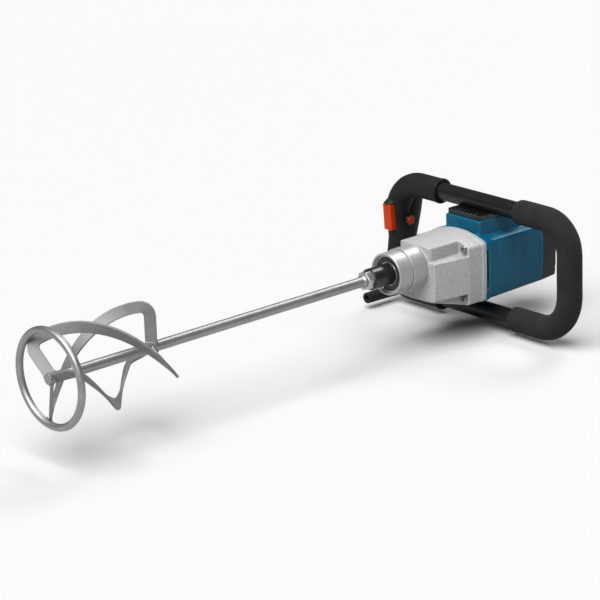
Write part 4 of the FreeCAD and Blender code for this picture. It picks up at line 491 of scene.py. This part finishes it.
tube = loop_tube("frame_tube_bar", TUBE_END, TUBE_END, TUBE_RADIUS)
apply_modifier(tube, "BEVEL", width=TUBE_EDGE, segments=2, limit_method="ANGLE",
               angle_limit=math.radians(50))
only(tube)
bpy.ops.object.shade_smooth_by_angle(angle=math.radians(40))
tube.data.materials.append(tube_finish)
place(tube, "machine", "tube_paint", "frame_tube")

# Foam grip
# The foam grip is a thick closed-cell tube that is pushed over the frame's bends and ends in a soft rounded
# lip. Its skin is a little uneven where hands have pressed it.

FOAM_RADIUS = 0.0182
FOAM_TOP_START = -0.0765
FOAM_LOW_START = -0.066
FOAM_VOXEL = 0.0022
FOAM_GIVE = 0.0009
FOAM_GIVE_SPAN = 0.035
PORE_SCALE = 520.0
PORE_SIZE = 0.16
PORE_SHARE = 0.6
FOAM_DARK = (0.0055, 0.0055, 0.0056, 1.0)
FOAM_LIGHT = (0.0175, 0.0175, 0.0177, 1.0)
FOAM_PORE = (0.003, 0.003, 0.003, 1.0)

foam_finish, tree, shader, grain = finish(
    "grip_foam", grain_scale=700.0, patch_scale=55.0, grain_depth=0.5, grain_distance=0.0009)
colour = two_tone(tree, shader, grain, FOAM_DARK, FOAM_LIGHT, rough_low=0.78, rough_high=0.92)
cells = add(tree, "ShaderNodeTexVoronoi", Scale=PORE_SCALE)
tree.links.new(tree.nodes.new("ShaderNodeTexCoord").outputs["Object"], cells.inputs["Vector"])
pores = math_node(tree, "LESS_THAN", cells.outputs["Distance"], PORE_SIZE)
pores = math_node(tree, "MULTIPLY", pores, PORE_SHARE)
tree.links.new(mix_colour(tree, pores, colour, FOAM_PORE), shader.inputs["Base Color"])
shader.inputs["Specular IOR Level"].default_value = 0.08
shader.inputs["Sheen Weight"].default_value = 0.03
shader.inputs["Sheen Roughness"].default_value = 0.6

foam = loop_tube("foam_grip_pad", FOAM_TOP_START, FOAM_LOW_START, FOAM_RADIUS)
soften(foam, FOAM_VOXEL, smoothing=5, keep=1.0)
give = bpy.data.textures.new("foam_give", "CLOUDS")
give.noise_scale = FOAM_GIVE_SPAN
apply_modifier(foam, "DISPLACE", texture=give, texture_coords="LOCAL", strength=FOAM_GIVE, mid_level=0.35)
apply_modifier(foam, "SUBSURF", levels=1, render_levels=1)
only(foam)
bpy.ops.object.shade_smooth()
foam.data.materials.append(foam_finish)
place(foam, "machine", "grip_foam", "foam_grip")

# Switch handle and cord sleeve
# The switch handle is two rubber-covered shells that screw together round the frame's ends, with a hood
# above the trigger. The ribbed rubber sleeve at its foot is where the mains lead goes in.

RUBBER_DARK = (0.0040, 0.0040, 0.0043, 1.0)
RUBBER_LIGHT = (0.0115, 0.0115, 0.012, 1.0)
RUBBER_WORN = (0.04, 0.04, 0.042, 1.0)

rubber_finish, tree, shader, grain = finish(
    "grip_rubber", grain_scale=1300.0, patch_scale=38.0, grain_depth=0.3, grain_distance=0.0004)
colour = two_tone(tree, shader, grain, RUBBER_DARK, RUBBER_LIGHT, rough_low=0.5, rough_high=0.66)
show_rub_and_highlight(tree, shader, colour, RUBBER_WORN, start=0.54, width=0.06)
shader.inputs["Specular IOR Level"].default_value = 0.15

for node, name, voxel, smoothing in (("switch_handle_front", "switch_grip_front", 0.0009, 8),
                                     ("switch_handle_rear", "switch_grip_rear", 0.0009, 8),
                                     ("cord_sleeve", "cord_relief_sleeve", 0.00045, 3)):
    moulding = merged_copy(node, name)
    soften(moulding, voxel, smoothing, keep=0.4)
    moulding.data.materials.append(rubber_finish)
    place(moulding, "machine", "grip_rubber", node)

# Trigger and lock button
# The trigger and the lock-on button are orange gloss mouldings that slide into the grip against springs.
# The button sits in a black bezel ring.

ORANGE_DARK = (0.33, 0.022, 0.0008, 1.0)
ORANGE_LIGHT = (0.44, 0.033, 0.0014, 1.0)
BEZEL_DARK = (0.006, 0.006, 0.006, 1.0)
BEZEL_LIGHT = (0.012, 0.012, 0.012, 1.0)
SMALL_VOXEL = 0.00035

orange_finish, tree, shader, grain = finish(
    "orange_plastic", grain_scale=2600.0, patch_scale=60.0, grain_depth=0.05, grain_distance=0.0002)
two_tone(tree, shader, grain, ORANGE_DARK, ORANGE_LIGHT, rough_low=0.3, rough_high=0.4)
shader.inputs["Specular IOR Level"].default_value = 0.12
bezel_finish, tree, shader, grain = finish(
    "bezel_plastic", grain_scale=2600.0, patch_scale=60.0, grain_depth=0.05, grain_distance=0.0002)
two_tone(tree, shader, grain, BEZEL_DARK, BEZEL_LIGHT, rough_low=0.25, rough_high=0.35)

for node, name, body, slot, material in (
        ("trigger", "trigger_blade", "trigger", "orange_plastic", orange_finish),
        ("lock_button", "lock_button_cap", "lock_button", "orange_plastic", orange_finish),
        ("lock_bezel", "lock_bezel_ring", "machine", "bezel_plastic", bezel_finish)):
    moulding = merged_copy(node, name)
    soften(moulding, SMALL_VOXEL, smoothing=4, keep=0.3)
    moulding.data.materials.append(material)
    place(moulding, body, slot, node)

# Spindle
# The spindle is black-oxide steel with a hexagon for a spanner that is ground bright. The seal's bright steel
# lip ring runs on it, and a bright retaining ring holds the seal in the neck's mouth.

SPINDLE_DARK = (0.006, 0.006, 0.0065, 1.0)
SPINDLE_LIGHT = (0.016, 0.016, 0.017, 1.0)
HEX_START = -0.0431
HEX_LENGTH = 0.0103
HEX_ACROSS = 0.0242
HEX_TURN = math.radians(13.0)
HEX_EDGE = 0.0006
RING_STEPS = 96
SPINDLE_VOXEL = 0.0006
BRIGHT_DARK = (0.34, 0.34, 0.34, 1.0)
BRIGHT_LIGHT = (0.50, 0.50, 0.497, 1.0)
LIP_OUTLINE = ((0.0045, 0.0160), (0.0045, 0.0167), (0.0048, 0.0169), (0.0056, 0.0169), (0.0056, 0.0157),
               (0.0048, 0.0157))
RING_OUTLINE = ((0.0036, 0.0252), (0.0036, 0.0268), (0.0040, 0.0269), (0.0052, 0.0269), (0.0052, 0.0245),
                (0.0044, 0.0245))

spindle_finish, tree, shader, grain = finish(
    "spindle_steel", grain_scale=1500.0, patch_scale=60.0, grain_depth=0.08, grain_distance=0.0002)
two_tone(tree, shader, grain, SPINDLE_DARK, SPINDLE_LIGHT, rough_low=0.24, rough_high=0.34)
shader.inputs["Metallic"].default_value = 0.2
spindle = merged_copy("spindle", "spindle_bar")
soften(spindle, SPINDLE_VOXEL, smoothing=3, keep=0.25)
spindle.data.materials.append(spindle_finish)
place(spindle, "spindle", "spindle_steel", "spindle")

bright_finish, tree, shader, grain = finish(
    "ground_steel", grain_scale=1500.0, patch_scale=90.0, grain_depth=0.1, grain_distance=0.0002)
two_tone(tree, shader, grain, BRIGHT_DARK, BRIGHT_LIGHT, rough_low=0.26, rough_high=0.38)
shader.inputs["Metallic"].default_value = 0.9

bpy.ops.object.select_all(action="DESELECT")
bpy.ops.mesh.primitive_cylinder_add(vertices=6, radius=HEX_ACROSS / math.sqrt(3), depth=HEX_LENGTH,
                                    location=(0, 0, 0))
flats = bpy.context.object
flats.name = "spanner_flats"
bpy.ops.object.mode_set(mode="EDIT")
bpy.ops.mesh.select_all(action="SELECT")
bpy.ops.transform.rotate(value=math.pi / 2, orient_axis="Y", center_override=(0, 0, 0))
bpy.ops.transform.rotate(value=HEX_TURN, orient_axis="X", center_override=(0, 0, 0))
bpy.ops.transform.translate(value=(HEX_START + HEX_LENGTH / 2, 0, 0))
bpy.ops.object.mode_set(mode="OBJECT")
apply_modifier(flats, "BEVEL", width=HEX_EDGE, segments=3)
only(flats)
bpy.ops.object.shade_smooth_by_angle(angle=math.radians(25))
flats.data.materials.append(bright_finish)
place(flats, "spindle", "machined_steel")

lip = turned_piece("seal_lip", LIP_OUTLINE, RING_STEPS, 0.0)
lip.data.materials.append(bright_finish)
place(lip, "machine", "machined_steel")

circlip = turned_piece("retaining_ring", RING_OUTLINE, RING_STEPS, 0.0)
circlip.data.materials.append(bright_finish)
place(circlip, "machine", "machined_steel", "spindle_retaining_ring")

# Paddle
# The paddle is welded from mild steel: a round shaft, three flat bars wound as helical blades and a ring of
# round bar at the far end. It is zinc plated over the weld beads, with a dull grey bloom from use.

STEEL_DARK = (0.12, 0.12, 0.121, 1.0)
STEEL_LIGHT = (0.20, 0.20, 0.201, 1.0)
STEEL_WORN = (0.42, 0.42, 0.42, 1.0)
BAR_DARK = (0.22, 0.22, 0.222, 1.0)
BAR_LIGHT = (0.34, 0.34, 0.342, 1.0)
SHAFT_RADIUS = 0.00735
RING_PLACE = -0.594
RING_RADIUS = 0.0648
RING_BAR = 0.0052
PADDLE_MIDDLE = -0.5
BEAD_RADIUS = 0.0017
BEAD_STEP = 0.0019
BEAD_SIDE = 0.0005
BEAD_COUNT = 6
RING_BEADS = 3
BEAD_VOXEL = 0.0005
ARM_WIDTH_SHARE = 0.9
WELD_REACH = 0.0016

paddle_finish, tree, shader, grain = finish(
    "paddle_steel", grain_scale=900.0, patch_scale=70.0, grain_depth=0.12, grain_distance=0.0004)
colour = two_tone(tree, shader, grain, STEEL_DARK, STEEL_LIGHT, rough_low=0.5, rough_high=0.62)
show_rub_and_highlight(tree, shader, colour, STEEL_WORN, start=0.53, width=0.08)
shader.inputs["Metallic"].default_value = 0.35

bar_finish, tree, shader, grain = finish(
    "drawn_bar", grain_scale=900.0, patch_scale=60.0, grain_depth=0.08, grain_distance=0.0003)
two_tone(tree, shader, grain, BAR_DARK, BAR_LIGHT, rough_low=0.42, rough_high=0.5)
shader.inputs["Metallic"].default_value = 0.9

for node, name, voxel, smoothing, keep, material in (
        ("paddle_shaft", "paddle_bar", 0.0007, 8, 0.5, bar_finish),
        ("paddle_ring", "paddle_end_ring", 0.0008, 8, 0.6, bar_finish),
        ("paddle_blade_1", "paddle_strip_1", 0.0006, 3, 0.3, paddle_finish),
        ("paddle_blade_2", "paddle_strip_2", 0.0006, 3, 0.3, paddle_finish),
        ("paddle_blade_3", "paddle_strip_3", 0.0006, 3, 0.3, paddle_finish)):
    bar = merged_copy(node, name)
    soften(bar, voxel, smoothing, keep)
    bar.data.materials.append(material)
    place(bar, "spindle", "paddle_steel", node)


def arm_spots(corners):
    """The places of the weld beads on both faces of a blade's arm, where it meets the shaft."""
    centre = sum(corners, Vector()) / len(corners)
    out = Vector((0, centre.y, centre.z)).normalized()
    around = Vector((1, 0, 0)).cross(out)
    edges = sorted((corner - corners[0] for corner in corners[1:]), key=lambda edge: edge.length)
    forward = edges[1].normalized()
    face = out.cross(forward).normalized()
    spots = []
    for side in (1, -1):
        offset = face * (side * (edges[0].length / 2 + BEAD_SIDE))
        for step in range(-BEAD_COUNT, BEAD_COUNT + 1):
            shift = forward * (step * BEAD_STEP) + offset
            aside = shift.dot(around)
            if abs(aside) < SHAFT_RADIUS * ARM_WIDTH_SHARE and abs(step * BEAD_STEP) < edges[1].length / 2:
                rise = math.sqrt(SHAFT_RADIUS ** 2 - aside ** 2)
                spots.append(Vector((centre.x, 0, 0)) + shift + out * rise)
    return spots


def ring_spots(corners):
    """The places of a short row of beads where a blade lies on the ring."""
    centre = sum(corners, Vector()) / len(corners)
    out = Vector((0, centre.y, centre.z)).normalized()
    around = Vector((1, 0, 0)).cross(out)
    spots = []
    for step in range(-RING_BEADS, RING_BEADS + 1):
        beside = (out * RING_RADIUS + around * (step * BEAD_STEP)).normalized()
        core = Vector((RING_PLACE, 0, 0)) + beside * RING_RADIUS
        lean = (centre - Vector((RING_PLACE, 0, 0)) - out * RING_RADIUS).normalized()
        spots.append(core + lean * RING_BAR)
    return spots


def bead_chain(name, spots):
    """A weld of overlapping beads at the given places, run together."""
    beads = []
    for spot in spots:
        bpy.ops.object.select_all(action="DESELECT")
        bpy.ops.mesh.primitive_ico_sphere_add(subdivisions=2, radius=BEAD_RADIUS, location=spot)
        beads.append(bpy.context.object)
    bpy.ops.object.select_all(action="DESELECT")
    for bead in beads:
        bead.select_set(True)
    bpy.context.view_layer.objects.active = beads[0]
    bpy.ops.object.join()
    chain = bpy.context.object
    chain.name = name
    bpy.ops.object.transform_apply(location=True, rotation=False, scale=False)
    soften(chain, BEAD_VOXEL, smoothing=2, keep=0.5)
    return chain


for index in (1, 2, 3):
    points = {tuple(round(value, 6) for value in vertex.co)
              for vertex in frame["nodes"]["paddle_blade_%d" % index].data.vertices}
    points = [Vector(point) for point in sorted(points)]
    roots = [point for point in points if math.hypot(point.y, point.z) < SHAFT_RADIUS + WELD_REACH]
    spots = []
    for side in (1, -1):
        spots += arm_spots([root for root in roots if (root.x - PADDLE_MIDDLE) * side > 0])
    near = []
    for point in points:
        reach = math.hypot(math.hypot(point.y, point.z) - RING_RADIUS, point.x - RING_PLACE)
        if reach < RING_BAR + WELD_REACH:
            near.append(point)
    chain = bead_chain("weld_beads_%d" % index, spots + ring_spots(near))
    chain.data.materials.append(paddle_finish)
    place(chain, "spindle", "paddle_steel")

# Screws and inner parts
# The screws are zinc-plated steel with hexagon sockets and show in their pockets. Inside are steel gears,
# shafts and bearings, bronze bushes, copper windings and carbon brushes, as the solids have them.
# Each look below is two colours, how metallic it is and two roughnesses.

SLOT_LOOKS = {
    "zinc_screws": ((0.25, 0.25, 0.255, 1.0), (0.40, 0.40, 0.40, 1.0), 0.9, 0.35, 0.5),
    "machined_steel": ((0.40, 0.40, 0.41, 1.0), (0.56, 0.56, 0.57, 1.0), 1.0, 0.2, 0.35),
    "seal_rubber": ((0.008, 0.008, 0.008, 1.0), (0.016, 0.016, 0.016, 1.0), 0.0, 0.45, 0.6),
    "bush_bronze": ((0.40, 0.24, 0.09, 1.0), (0.60, 0.39, 0.16, 1.0), 1.0, 0.3, 0.45),
    "core_steel": ((0.18, 0.18, 0.19, 1.0), (0.30, 0.30, 0.31, 1.0), 0.9, 0.4, 0.55),
    "copper": ((0.55, 0.19, 0.07, 1.0), (0.75, 0.33, 0.15, 1.0), 0.9, 0.25, 0.45),
    "carbon": ((0.012, 0.012, 0.012, 1.0), (0.03, 0.03, 0.03, 1.0), 0.1, 0.5, 0.7),
}
slot_finishes = {"cast_aluminium": casting_finish, "blue_plastic": shell_finish,
                 "black_plastic": black_finish, "tube_paint": tube_finish, "grip_foam": foam_finish,
                 "grip_rubber": rubber_finish, "orange_plastic": orange_finish, "bezel_plastic": bezel_finish,
                 "spindle_steel": spindle_finish, "paddle_steel": paddle_finish}
for slot, (dark, light, metallic, rough_low, rough_high) in SLOT_LOOKS.items():
    material, tree, shader, grain = finish(
        slot, grain_scale=1200.0, patch_scale=80.0, grain_depth=0.1, grain_distance=0.0002)
    two_tone(tree, shader, grain, dark, light, rough_low, rough_high)
    shader.inputs["Metallic"].default_value = metallic
    slot_finishes[slot] = material
for entry in frame["record"]["subparts"]:
    node = frame["nodes"][entry["node"]]
    for place_slot in node.material_slots:
        place_slot.material = slot_finishes[entry["material_slot"]]

# Studio
# A pale floor, a broad light from above the paddle, weaker ones from the foam side and from behind, and a
# dim surround, seen at the photograph's angle through a long lens.

FLOOR_DROP = 0.1205
SURROUND = 0.12
KEY_STRENGTH = 6.6
KEY_PLACE = (-0.9, -0.35, 1.6)
KEY_SPREAD = 56.0
SIDE_STRENGTH = 0.2
SIDE_PLACE = (-0.35, -1.0, 0.55)
SIDE_SPREAD = 60.0
REAR_STRENGTH = 1.3
REAR_PLACE = (0.95, 0.22, 1.1)
REAR_SPREAD = 22.0
FLOOR_COLOUR = (0.42, 0.42, 0.42, 1.0)
FLOOR_SIDE = 12.0
CAMERA_RIGHT = (0.74066485, -0.67127886, -0.02828911)
CAMERA_UP = (0.2298382, 0.21358106, 0.94950383)
CAMERA_BACK = (-0.63133983, -0.70976603, 0.31247751)
CAMERA_PLACE = (-2.8119, -2.9785, 1.3130)
CAMERA_LENS = 184.03

bpy.ops.object.select_all(action="DESELECT")
bpy.ops.mesh.primitive_plane_add(size=FLOOR_SIDE, location=(0, 0, -FLOOR_DROP))
floor = bpy.context.object
floor.name = "floor"
floor_finish = bpy.data.materials.new("floor")
floor_finish.use_nodes = True
floor_finish.node_tree.nodes["Principled BSDF"].inputs["Base Color"].default_value = FLOOR_COLOUR
floor_finish.node_tree.nodes["Principled BSDF"].inputs["Roughness"].default_value = 0.9
floor.data.materials.append(floor_finish)

world = bpy.data.worlds.new("studio")
world.use_nodes = True
world.node_tree.nodes["Background"].inputs["Color"].default_value = (1.0, 1.0, 1.0, 1.0)
world.node_tree.nodes["Background"].inputs["Strength"].default_value = SURROUND
bpy.context.scene.world = world

for name, spot, strength, spread in (("key_light", KEY_PLACE, KEY_STRENGTH, KEY_SPREAD),
                                     ("side_light", SIDE_PLACE, SIDE_STRENGTH, SIDE_SPREAD),
                                     ("rear_light", REAR_PLACE, REAR_STRENGTH, REAR_SPREAD)):
    lamp = bpy.data.lights.new(name, "SUN")
    lamp.energy = strength
    lamp.angle = math.radians(spread)
    light = bpy.data.objects.new(name, lamp)
    bpy.context.scene.collection.objects.link(light)
    light.location = spot
    light.rotation_mode = "QUATERNION"
    light.rotation_quaternion = (-Vector(spot)).to_track_quat("-Z", "Y")
bpy.context.scene.view_settings.view_transform = "Standard"

camera_data = bpy.data.cameras.new("camera")
camera_data.lens = CAMERA_LENS
camera_data.sensor_width = 36.0
camera = bpy.data.objects.new("camera", camera_data)
bpy.context.scene.collection.objects.link(camera)
turn = Matrix((CAMERA_RIGHT, CAMERA_UP, CAMERA_BACK)).transposed().to_4x4()
camera.matrix_world = Matrix.Translation(CAMERA_PLACE) @ turn
bpy.context.scene.camera = camera
